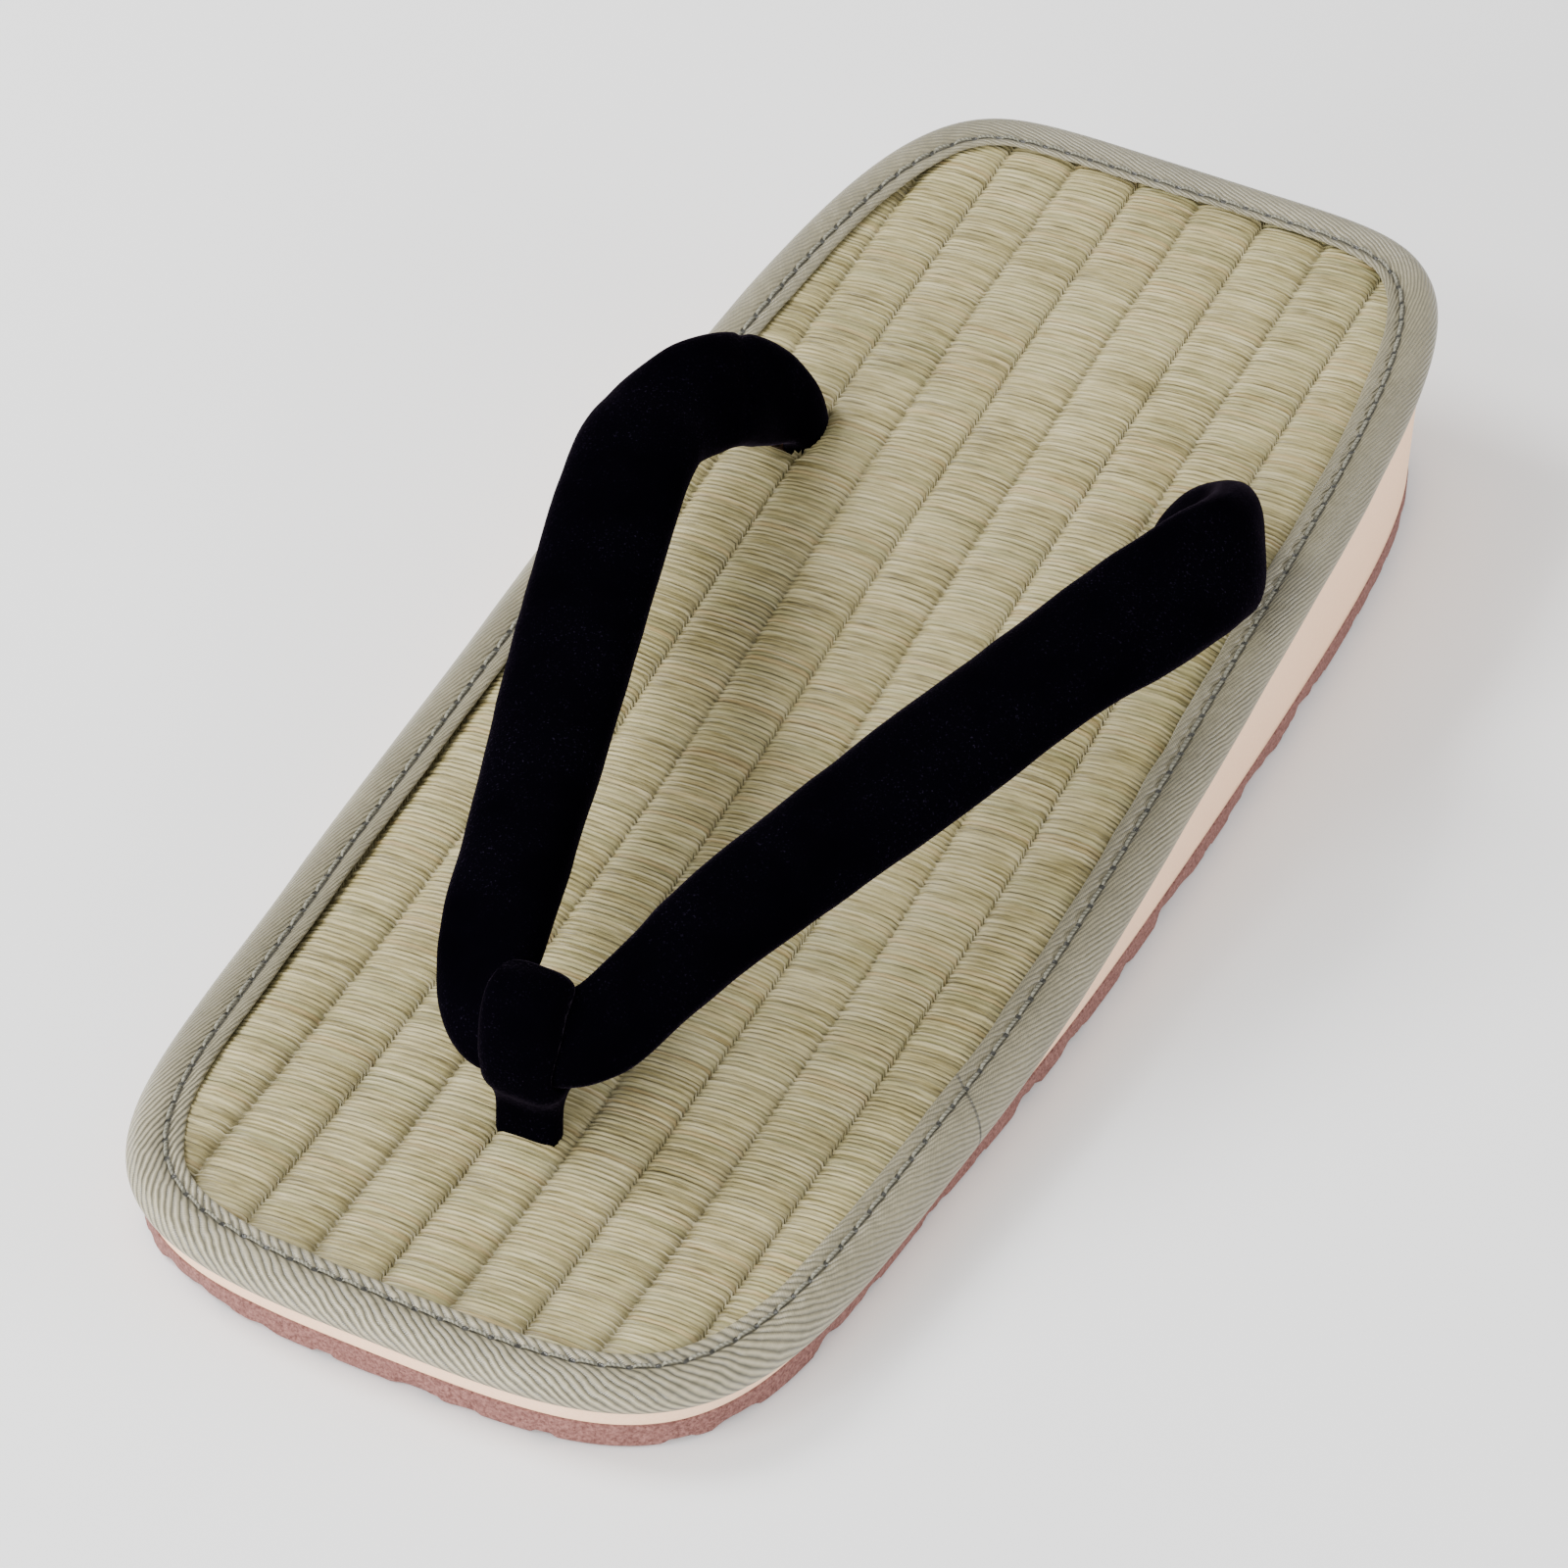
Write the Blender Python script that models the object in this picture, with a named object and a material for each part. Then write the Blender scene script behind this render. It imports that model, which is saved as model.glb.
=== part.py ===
"""A flat Japanese sandal: a rush mat in a cloth binding on a foam wedge and a lugged sole, with a velvet thong.

Metres, +Z up. The toe points along -Y and the sole stands on z = 0.
"""

import math

import bmesh
import bpy
import numpy as np

# Overall size
LENGTH = 0.265
HALF_WIDTH = 0.0563
TOE_HEIGHT = 0.0120
HEEL_HEIGHT = 0.0370

# Planform, all shares of the length or the half width
TOE_ROUNDING = 3.5
HEEL_ROUNDING = 6.2
BALL_PLACE = -0.44
TOE_FLARE = 0.215
HEEL_TAPER = 0.105
OUTLINE_POINTS = 72
OUTLINE_DENSE = 800

# Layers
OUTSOLE_THICK = 0.0042
OUTSOLE_INSET = 0.0020
OUTSOLE_CHAMFER = 0.0006
WAIST_DEPTH = 0.0012
WAIST_PLACE = -0.50
WAIST_REACH = 0.30
MIDSOLE_TOP_INSET = 0.0017
CLEARANCE = 0.0003
SHARP_ANGLE = math.radians(40)

# Lugs under the sole
LUG_LENGTH = 0.0150
LUG_WIDTH = 0.0166
GROOVE_MOUTH = 0.0046
GROOVE_FLOOR = 0.0022
GROOVE_DEPTH = 0.0010

# Binding
BINDING_WIDTH = 0.0080
BINDING_HEIGHT = 0.0046
BINDING_WALL = 0.0008
BINDING_ROOM = 0.0024

# Rush mat
RIDGE_PITCH = 0.0108
RIDGE_DEPTH = 0.0008
RIDGE_STEPS = 4
MAT_SHIFT = -0.0005
MAT_TURN = math.radians(1.2)
MAT_STATIONS = 13
MAT_OVERRUN = 0.0050

# Thong straps
TOE_HOLE_BACK = 0.0445
REAR_HOLE_AHEAD = 0.0765
REAR_HOLE_X = 0.0295
STRAP_RISE = 0.0260
STRAP_WIDTH = 0.0200
STRAP_THICK = 0.0105
STRAP_ROUNDING = 2.4
STRAP_SIDES = 18
STRAP_STEPS = 2

# Toe loop
LOOP_WIDTH = 0.0130
LOOP_WALL = 0.0018
STEM_DEPTH = 0.0046
LOOP_ROUNDING = 3.4
LOOP_SIDES = 20

# Height of the mat's rim along the sole: place as a share of half the length, rise as a share of the wedge
RIM_COLUMNS = ("place", "rise")
RIM_ROWS = (
    (-1.00, 0.000),
    (-0.64, -0.016),
    (-0.23, 0.122),
    (0.30, 0.560),
    (0.62, 0.785),
    (1.00, 1.000),
)

# Outer face of the binding from its inner edge over the rim to the underside, as shares of its width and height
BINDING_COLUMNS = ("across", "down")
BINDING_ROWS = (
    (1.00, 0.000),
    (0.56, -0.050),
    (0.27, -0.015),
    (0.09, 0.140),
    (0.00, 0.430),
    (0.03, 0.740),
    (0.19, 1.000),
    (0.85, 1.000),
)

# Centre lines of the strap arms from the toe to the rear holes. The two are bent by hand and differ a little.
# along: share of the way from toe hole to rear hole. out: share of the rear hole's half spacing.
# rise: share of STRAP_RISE over the mat. width, thick: shares of the strap's own.
# side, back, lift: direction from the arm's middle to its outer edge.
STRAP_COLUMNS = ("along", "out", "rise", "width", "thick", "side", "back", "lift")
APEX_ROW = (0.000, 0.00, 0.68, 0.75, 0.72, 0.00, -0.30, -0.95)
LEFT_ROWS = (
    (0.018, 0.28, 0.69, 0.83, 0.80, 0.32, -0.40, -0.85),
    (0.090, 0.41, 0.87, 0.82, 0.95, 0.78, -0.45, -0.43),
    (0.194, 0.56, 0.94, 0.82, 1.00, 0.93, -0.33, -0.15),
    (0.400, 0.88, 0.97, 0.90, 0.95, 0.95, -0.30, -0.05),
    (0.610, 1.19, 0.92, 0.92, 0.95, 0.95, -0.30, 0.00),
    (0.715, 1.33, 0.86, 0.93, 0.95, 0.94, -0.33, 0.05),
    (0.795, 1.35, 0.74, 0.89, 0.95, 0.90, -0.30, 0.25),
    (0.870, 1.26, 0.63, 0.90, 0.95, 0.75, 0.00, 0.65),
    (0.938, 1.16, 0.35, 0.82, 0.85, 0.40, 0.30, 0.87),
    (0.984, 1.06, 0.02, 0.53, 0.70, 0.30, 0.75, 0.60),
    (1.000, 1.03, -0.40, 0.45, 0.66, 0.30, 0.95, 0.00),
)
RIGHT_ROWS = (
    (0.018, 0.27, 0.72, 0.70, 0.78, 0.32, -0.40, -0.85),
    (0.090, 0.44, 0.87, 0.70, 0.85, 0.78, -0.45, -0.43),
    (0.194, 0.57, 0.94, 0.80, 0.94, 0.93, -0.33, -0.15),
    (0.400, 0.89, 0.97, 0.93, 0.95, 0.95, -0.30, -0.05),
    (0.610, 1.21, 0.92, 0.97, 0.95, 0.95, -0.30, 0.00),
    (0.715, 1.38, 0.85, 1.00, 0.95, 0.91, -0.35, -0.20),
    (0.810, 1.51, 0.76, 0.95, 0.95, 0.80, -0.35, -0.48),
    (0.885, 1.55, 0.61, 0.90, 0.95, 0.50, -0.30, -0.80),
    (0.950, 1.43, 0.40, 0.80, 0.90, 0.15, -0.30, -0.94),
    (0.985, 1.20, 0.18, 0.61, 0.80, 0.10, -0.55, -0.83),
    (1.000, 1.03, -0.09, 0.48, 0.70, 0.30, -0.90, -0.30),
    (1.000, 1.00, -0.40, 0.45, 0.66, 0.30, -0.95, 0.00),
)

# Outside of the toe loop from the foot of its stem to its top.
# level: 0 at the mat, 1 at the strap's middle. width: share of LOOP_WIDTH.
# depth: 0 for the bare stem, 1 for the strap's thickness with the loop's wall on both sides.
LOOP_COLUMNS = ("level", "width", "depth")
LOOP_ROWS = (
    (0.00, 0.74, 0.00),
    (0.26, 0.75, 0.02),
    (0.42, 0.82, 0.30),
    (0.58, 0.96, 0.75),
    (0.82, 1.00, 0.98),
    (1.12, 0.98, 1.00),
    (1.33, 0.93, 0.88),
    (1.47, 0.86, 0.62),
    (1.53, 0.78, 0.30),
)


def column(rows, names, name):
    """One named column of a table, as an array."""
    return np.array([row[names.index(name)] for row in rows])


def clear_scene():
    for old in list(bpy.data.objects):
        bpy.data.objects.remove(old, do_unlink=True)


def make_collection(name):
    made = bpy.data.collections.new(name)
    bpy.context.scene.collection.children.link(made)
    return made


def make_material(name, colour, roughness, metallic=0.0):
    material = bpy.data.materials.new(name)
    material.use_nodes = True
    shader = material.node_tree.nodes["Principled BSDF"]
    shader.inputs["Base Color"].default_value = (*colour, 1.0)
    shader.inputs["Roughness"].default_value = roughness
    shader.inputs["Metallic"].default_value = metallic
    material.diffuse_color = (*colour, 1.0)
    return material


def make_object(name, points, faces, collection, material=None):
    """A mesh object with its faces turned outward and its quads split, each piece and its room alike."""
    mesh = bpy.data.meshes.new(name)
    mesh.from_pydata([tuple(point) for point in points], [], faces)
    shape = bmesh.new()
    shape.from_mesh(mesh)
    bmesh.ops.recalc_face_normals(shape, faces=shape.faces)
    quads = [face for face in shape.faces if len(face.verts) == 4]
    bmesh.ops.triangulate(shape, faces=quads, quad_method="FIXED")
    shape.to_mesh(mesh)
    shape.free()
    mesh.shade_smooth()
    mesh.set_sharp_from_angle(angle=SHARP_ANGLE)
    made = bpy.data.objects.new(name, mesh)
    collection.objects.link(made)
    if material is None:
        made.hide_render = True
        made.display_type = "WIRE"
    else:
        mesh.materials.append(material)
    return made


def boolean(target, other, operation):
    modifier = target.modifiers.new(f"{operation.lower()} {other.name}", "BOOLEAN")
    modifier.operation = operation
    modifier.object = other


def superellipse(count, exponent):
    """Points of a unit superellipse, as (count, 2), anticlockwise from +X."""
    angle = np.arange(count) * 2 * math.pi / count
    wave = np.column_stack([np.cos(angle), np.sin(angle)])
    return np.sign(wave) * np.abs(wave) ** (2 / exponent)


def rim_height(y):
    """Height of the mat's rim over the floor, a smooth curve along the sole."""
    place = column(RIM_ROWS, RIM_COLUMNS, "place")
    rise = column(RIM_ROWS, RIM_COLUMNS, "rise")
    slope = np.gradient(rise, place)
    t = np.clip(np.asarray(y) / (LENGTH / 2), place[0], place[-1])
    low = np.clip(np.searchsorted(place, t, side="right") - 1, 0, len(place) - 2)
    span = place[low + 1] - place[low]
    u = (t - place[low]) / span
    start = rise[low] * (1 + 2 * u) * (1 - u) ** 2 + slope[low] * span * u * (1 - u) ** 2
    end = rise[low + 1] * u * u * (3 - 2 * u) + slope[low + 1] * span * u * u * (u - 1)
    return TOE_HEIGHT + (HEEL_HEIGHT - TOE_HEIGHT) * (start + end)


def midsole_top(y):
    return rim_height(y) - BINDING_HEIGHT - CLEARANCE


def half_width(t):
    """Half the sole's width before its ends are rounded, at t = y over half the length."""
    toward_toe = np.clip((BALL_PLACE - t) / (1 + BALL_PLACE), 0, None)
    toward_heel = np.clip((t - BALL_PLACE) / (1 - BALL_PLACE), 0, None)
    return HALF_WIDTH * (1 + TOE_FLARE * toward_toe**2 - HEEL_TAPER * toward_heel**2)


def right_outline(inset, waist):
    """The right half of the outline from the toe's middle to the heel's, moved inward, more so at the waist."""
    angle = np.linspace(-math.pi / 2, math.pi / 2, OUTLINE_DENSE + 1)
    power = 2 / np.where(angle < 0, TOE_ROUNDING, HEEL_ROUNDING)
    t = np.sign(angle) * np.abs(np.sin(angle)) ** power
    x = half_width(t) * np.clip(np.cos(angle), 0, None) ** power
    line = np.column_stack([x, t * LENGTH / 2])
    run = np.gradient(line, axis=0)
    normal = np.column_stack([run[:, 1], -run[:, 0]])
    normal /= np.linalg.norm(normal, axis=1)[:, None]
    tuck = waist * np.exp(-(((t - WAIST_PLACE) / WAIST_REACH) ** 2)) * np.abs(normal[:, 0])
    line = line - normal * (inset + tuck)[:, None]
    line = line[line[:, 0] > 0]
    line = np.vstack([(0, line[0, 1]), line, (0, line[-1, 1])])
    way = np.concatenate([[0], np.cumsum(np.linalg.norm(np.diff(line, axis=0), axis=1))])
    even = np.linspace(0, way[-1], OUTLINE_POINTS // 2 + 1)
    return np.column_stack([np.interp(even, way, line[:, k]) for k in range(2)])


def outline(inset, waist=0.0):
    """The closed outline, anticlockwise from the toe's middle."""
    right = right_outline(inset, waist)
    left = right[-2:0:-1] * (-1, 1)
    return np.vstack([right, left])


def ring_faces(rings, around, closed):
    """Quads between neighbouring rings of points, each ring closed on itself."""
    last = rings if closed else rings - 1
    return [
        (
            i * around + j,
            i * around + (j + 1) % around,
            (i + 1) % rings * around + (j + 1) % around,
            (i + 1) % rings * around + j,
        )
        for i in range(last)
        for j in range(around)
    ]


def slab(name, levels, collection, material=None):
    """A closed layer through the sole: each level is an inset, a waist and a height function of y."""
    rings = []
    for inset, waist, height in levels:
        ring = outline(inset, waist)
        rings.append(np.column_stack([ring, height(ring[:, 1])]))
    faces = ring_faces(len(rings), OUTLINE_POINTS, closed=False)
    for k in (0, len(rings) - 1):
        start = k * OUTLINE_POINTS
        if np.ptp(rings[k][:, 2]) == 0:
            faces.append(tuple(range(start, start + OUTLINE_POINTS)))
            continue
        faces.append((start, start + 1, start + OUTLINE_POINTS - 1))
        for i in range(1, OUTLINE_POINTS // 2 - 1):
            far = start + OUTLINE_POINTS - i
            faces.append((start + i, start + i + 1, far - 1, far))
        middle = start + OUTLINE_POINTS // 2
        faces.append((middle - 1, middle, middle + 1))
    return make_object(name, np.vstack(rings), faces, collection, material)


def loft(name, sections, collection, material=None):
    """A closed tube through sections of as many points each, with flat ends."""
    around = len(sections[0])
    faces = ring_faces(len(sections), around, closed=False)
    faces.append(tuple(range(around)))
    faces.append(tuple(range((len(sections) - 1) * around, len(sections) * around)))
    return make_object(name, np.vstack(sections), faces, collection, material)


def groove(middle, along_x, half_length):
    """One long groove cutter under the sole, as a trapezoid bar."""
    top, low = GROOVE_DEPTH, -GROOVE_DEPTH
    flare = (GROOVE_MOUTH - GROOVE_FLOOR) / GROOVE_DEPTH
    widths = ((GROOVE_MOUTH + flare * GROOVE_DEPTH) / 2, GROOVE_FLOOR / 2)
    profile = ((-widths[0], low), (widths[0], low), (widths[1], top), (-widths[1], top))
    points = []
    for end in (-half_length, half_length):
        for across, z in profile:
            points.append((end, middle + across, z) if along_x else (middle + across, end, z))
    return points


def groove_cutter(name, pitch, reach, along_x, half_length, collection):
    """Grooves side by side at one pitch, none of them touching."""
    count = int(reach / pitch)
    points, faces = [], []
    for k in range(-count, count):
        base = len(points)
        points += groove((k + 0.5) * pitch, along_x, half_length)
        faces += [(base, base + 1, base + 2, base + 3), (base + 4, base + 5, base + 6, base + 7)]
        faces += [
            (base + j, base + (j + 1) % 4, base + 4 + (j + 1) % 4, base + 4 + j) for j in range(4)
        ]
    return make_object(name, points, faces, collection)


def make_outsole(parts, cutters):
    material = make_material("mauve rubber", (0.33, 0.20, 0.18), 0.85)
    levels = (
        (OUTSOLE_INSET + OUTSOLE_CHAMFER, WAIST_DEPTH, lambda y: 0 * y),
        (OUTSOLE_INSET, WAIST_DEPTH, lambda y: 0 * y + OUTSOLE_CHAMFER),
        (OUTSOLE_INSET, WAIST_DEPTH, lambda y: 0 * y + OUTSOLE_THICK),
    )
    outsole = slab("outsole", levels, parts, material)
    across = groove_cutter("cross grooves", LUG_LENGTH, LENGTH / 2, True, LENGTH, cutters)
    lengthwise = groove_cutter("long grooves", LUG_WIDTH, HALF_WIDTH, False, LENGTH, cutters)
    boolean(outsole, across, "DIFFERENCE")
    boolean(outsole, lengthwise, "DIFFERENCE")


def make_midsole(parts, strap_cut, loop_cut):
    material = make_material("beige foam", (0.72, 0.60, 0.50), 0.8)
    levels = (
        (OUTSOLE_INSET, WAIST_DEPTH, lambda y: 0 * y + OUTSOLE_THICK + CLEARANCE),
        (MIDSOLE_TOP_INSET, 0.0, midsole_top),
    )
    midsole = slab("midsole", levels, parts, material)
    boolean(midsole, strap_cut, "DIFFERENCE")
    boolean(midsole, loop_cut, "DIFFERENCE")


def offset_line(line, distance):
    """An open line in the plane moved to its left, point by point."""
    run = np.gradient(line, axis=0)
    normal = np.column_stack([-run[:, 1], run[:, 0]])
    normal /= np.linalg.norm(normal, axis=1)[:, None]
    return line + normal * distance


def binding_profile(extra, beyond):
    """The binding's C-shaped section as (inset, drop) points, fuller inside by extra and outside by beyond."""
    across = column(BINDING_ROWS, BINDING_COLUMNS, "across") * BINDING_WIDTH
    down = column(BINDING_ROWS, BINDING_COLUMNS, "down") * BINDING_HEIGHT
    across[[0, -1]] += extra
    outer = np.column_stack([across, down])
    inner = offset_line(outer, -BINDING_WALL - extra)
    return np.vstack([offset_line(outer, beyond), inner[::-1]])


def binding_ring(name, extra, beyond, collection, material=None):
    """The binding's section carried round the outline."""
    profile = binding_profile(extra, beyond)
    levels = []
    for inset, drop in profile:
        ring = outline(inset)
        levels.append(np.column_stack([ring, rim_height(ring[:, 1]) - drop]))
    points = np.stack(levels, axis=1).reshape(-1, 3)
    faces = ring_faces(OUTLINE_POINTS, len(profile), closed=True)
    return make_object(name, points, faces, collection, material)


def ridged_sheet(cutters):
    """A sheet wider than the sole whose top has the mat's lengthwise ridges."""
    side = RIDGE_PITCH * math.ceil(HALF_WIDTH / RIDGE_PITCH + 1)
    count = round(2 * side / RIDGE_PITCH) * RIDGE_STEPS
    across = np.linspace(-side, side, count + 1)
    phase = np.abs(across / RIDGE_PITCH + 0.5) % 1.0
    dip = RIDGE_DEPTH * (2 * phase - 1) ** 2
    low = rim_height(0) - HEEL_HEIGHT
    sections = []
    reach = LENGTH / 2 + MAT_OVERRUN
    for y in np.linspace(-reach, reach, MAT_STATIONS):
        x = across + MAT_SHIFT - math.tan(MAT_TURN) * y
        top = np.column_stack([x, np.full_like(x, y), rim_height(y) - dip])
        base = [(x[-1], y, low), (x[0], y, low)]
        sections.append(np.vstack([top, base]))
    return loft("ridged sheet", sections, cutters)


def make_mat(parts, cutters, strap_cut, loop_cut):
    material = make_material("rush straw", (0.50, 0.47, 0.31), 0.7)
    edge = BINDING_WALL / 2
    levels = (
        (edge, 0.0, lambda y: midsole_top(y) + CLEARANCE),
        (edge, 0.0, lambda y: rim_height(y) + RIDGE_DEPTH),
    )
    mat = slab("rush_mat", levels, parts, material)
    boolean(mat, ridged_sheet(cutters), "INTERSECT")
    room = binding_ring("binding room", CLEARANCE, BINDING_ROOM, cutters)
    boolean(mat, room, "DIFFERENCE")
    boolean(mat, strap_cut, "DIFFERENCE")
    boolean(mat, loop_cut, "DIFFERENCE")


def smooth_rows(rows, steps):
    """Rows along a Catmull-Rom curve through the given ones, halfway between shares of each step."""
    padded = np.vstack([2 * rows[0] - rows[1], rows, 2 * rows[-1] - rows[-2]])
    made = []
    for before, start, end, after in zip(padded, padded[1:], padded[2:], padded[3:]):
        for u in (np.arange(steps) + 0.5) / steps:
            made.append(
                0.5
                * (
                    2 * start
                    + (end - before) * u
                    + (2 * before - 5 * start + 4 * end - after) * u**2
                    + (3 * start - before - 3 * end + after) * u**3
                )
            )
    return np.vstack([rows[0], made, rows[-1]])


def toe_hole_y():
    return TOE_HOLE_BACK - LENGTH / 2


def arm_rows(table):
    """One arm from the toe to its rear hole on the right: centre, width, thickness and outward direction."""
    get = {name: column(table, STRAP_COLUMNS, name) for name in STRAP_COLUMNS}
    y = toe_hole_y() + get["along"] * (LENGTH - TOE_HOLE_BACK - REAR_HOLE_AHEAD)
    x = get["out"] * REAR_HOLE_X
    z = rim_height(y) + get["rise"] * STRAP_RISE
    sizes = (get["width"] * STRAP_WIDTH, get["thick"] * STRAP_THICK)
    return np.column_stack([x, y, z, *sizes, get["side"], get["back"], get["lift"]])


def strap_rows():
    """Both arms in one run from the left rear hole to the right one."""
    right = arm_rows((APEX_ROW, *RIGHT_ROWS))
    left = arm_rows(LEFT_ROWS)[::-1] * (-1, 1, 1, 1, 1, -1, 1, 1)
    return smooth_rows(np.vstack([left, right]), STRAP_STEPS)


def strap_sections(extra, deeper):
    """Flattened round sections along the strap, fuller by extra, its ends longer by deeper."""
    rows = strap_rows()
    centre = rows[:, :3].copy()
    centre[[0, -1], 2] -= deeper
    run = np.gradient(centre, axis=0)
    run /= np.linalg.norm(run, axis=1)[:, None]
    shape = superellipse(STRAP_SIDES, STRAP_ROUNDING)
    sections = []
    for middle, way, row in zip(centre, run, rows):
        outward = row[5:] - way * (row[5:] @ way)
        outward /= np.linalg.norm(outward)
        face = np.cross(way, outward)
        reach = np.outer(shape[:, 0] * (row[3] / 2 + extra), outward)
        depth = np.outer(shape[:, 1] * (row[4] / 2 + extra), face)
        sections.append(middle + reach + depth)
    return sections


def loop_sections(extra, foot):
    """Level sections of the toe loop's outside, its stem reaching down to the foot."""
    middle = dict(zip(STRAP_COLUMNS, APEX_ROW))
    height = middle["rise"] * STRAP_RISE
    mat = rim_height(toe_hole_y())
    stem = ((foot - mat) / height, *LOOP_ROWS[0][1:])
    rows = np.vstack([stem, smooth_rows(np.array(LOOP_ROWS), STRAP_STEPS)])
    wrapped = middle["thick"] * STRAP_THICK + 2 * (LOOP_WALL + CLEARANCE)
    shape = superellipse(LOOP_SIDES, LOOP_ROUNDING) / 2
    sections = []
    for level, width, depth in rows:
        size = (
            width * LOOP_WIDTH + 2 * extra,
            STEM_DEPTH + depth * (wrapped - STEM_DEPTH) + 2 * extra,
        )
        flat = shape * size + (0, toe_hole_y())
        sections.append(np.column_stack([flat, np.full(LOOP_SIDES, mat + level * height)]))
    return sections


def make_loop(parts, strap_cut):
    material = make_material("black velvet loop", (0.006, 0.006, 0.009), 0.95)
    foot = OUTSOLE_THICK + 2 * CLEARANCE
    loop = loft("toe_loop", loop_sections(0, foot), parts, material)
    boolean(loop, strap_cut, "DIFFERENCE")


def main():
    clear_scene()
    parts = make_collection("sandal")
    cutters = make_collection("cutters")
    strap_cut = loft("strap room", strap_sections(CLEARANCE, CLEARANCE), cutters)
    loop_cut = loft("loop room", loop_sections(CLEARANCE, OUTSOLE_THICK), cutters)
    make_outsole(parts, cutters)
    make_midsole(parts, strap_cut, loop_cut)
    make_mat(parts, cutters, strap_cut, loop_cut)
    cloth = make_material("grey green twill", (0.38, 0.39, 0.33), 0.6)
    binding_ring("edge_binding", 0, 0, parts, cloth)
    velvet = make_material("black velvet", (0.006, 0.006, 0.009), 0.95)
    loft("thong_straps", strap_sections(0, 0), parts, velvet)
    make_loop(parts, strap_cut)


main()
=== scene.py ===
"""Looks of the rush sandal: strands, twill, stitches, velvet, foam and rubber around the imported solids."""

import math

import bmesh
import bpy
import numpy as np
from mathutils import Matrix, Vector
from mathutils.geometry import convex_hull_2d

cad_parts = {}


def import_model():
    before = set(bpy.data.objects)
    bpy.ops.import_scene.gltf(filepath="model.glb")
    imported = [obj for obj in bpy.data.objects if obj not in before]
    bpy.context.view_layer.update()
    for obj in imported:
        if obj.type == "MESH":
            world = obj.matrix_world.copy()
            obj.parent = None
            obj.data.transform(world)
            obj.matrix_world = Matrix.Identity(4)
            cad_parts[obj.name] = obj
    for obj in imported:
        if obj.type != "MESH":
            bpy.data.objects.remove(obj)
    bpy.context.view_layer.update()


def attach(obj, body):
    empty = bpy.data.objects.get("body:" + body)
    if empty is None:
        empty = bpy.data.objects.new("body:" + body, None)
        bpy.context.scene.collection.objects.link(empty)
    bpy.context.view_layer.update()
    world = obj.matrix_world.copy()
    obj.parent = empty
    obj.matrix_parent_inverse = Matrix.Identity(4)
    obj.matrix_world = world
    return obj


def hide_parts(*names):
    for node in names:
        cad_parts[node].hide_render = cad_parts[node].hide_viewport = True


MM = 0.001

# Sizes of the solids in part.py, in metres where not a share. The mat's ridges are 0.1 mm deeper here.
LENGTH = 0.265
HALF_WIDTH = 0.0563
TOE_HEIGHT = 0.0120
HEEL_HEIGHT = 0.0370
TOE_ROUNDING = 3.5
HEEL_ROUNDING = 6.2
BALL_PLACE = -0.44
TOE_FLARE = 0.215
HEEL_TAPER = 0.105
OUTSOLE_THICK = 0.0042
OUTSOLE_INSET = 0.0020
OUTSOLE_CHAMFER = 0.0006
WAIST_DEPTH = 0.0012
WAIST_PLACE = -0.50
WAIST_REACH = 0.30
MIDSOLE_TOP_INSET = 0.0017
CLEARANCE = 0.0003
LUG_LENGTH = 0.0150
LUG_WIDTH = 0.0166
GROOVE_MOUTH = 0.0046
GROOVE_FLOOR = 0.0022
GROOVE_DEPTH = 0.0010
BINDING_WIDTH = 0.0080
BINDING_HEIGHT = 0.0046
BINDING_WALL = 0.0008
RIDGE_PITCH = 0.0108
RIDGE_DEPTH = 0.0009
MAT_SHIFT = -0.0005
MAT_TURN = math.radians(1.2)
TOE_HOLE_BACK = 0.0445
REAR_HOLE_AHEAD = 0.0765
TOE_HOLE_Y = TOE_HOLE_BACK - LENGTH / 2
REAR_HOLE_Y = LENGTH / 2 - REAR_HOLE_AHEAD
REAR_HOLE_X = 0.0295
STRAP_RISE = 0.0260
STRAP_WIDTH = 0.0200
STRAP_THICK = 0.0105
STRAP_ROUNDING = 2.4
LOOP_WIDTH = 0.0130
LOOP_WALL = 0.0018
STEM_DEPTH = 0.0046
LOOP_ROUNDING = 3.4

# Rim of the sole: place along half the length, rise as a share of the wedge. The inner
# rows here and part of the strap rows' along and out come from scratch fits to the photo.
RIM_ROWS = ((-1.0, 0.0), (-0.64, -0.016), (-0.23, 0.122), (0.30, 0.560), (0.62, 0.785), (1.0, 1.0))

# Outer face of the tape from its inner edge to the underside: across and down, as shares
BINDING_ROWS = (
    (1.00, 0.020),
    (0.96, -0.055),
    (0.86, -0.075),
    (0.72, -0.040),
    (0.56, -0.060),
    (0.38, -0.055),
    (0.20, 0.020),
    (0.07, 0.190),
    (0.00, 0.450),
    (0.03, 0.740),
    (0.15, 0.960),
    (0.35, 1.000),
    (0.85, 1.000),
)

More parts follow.
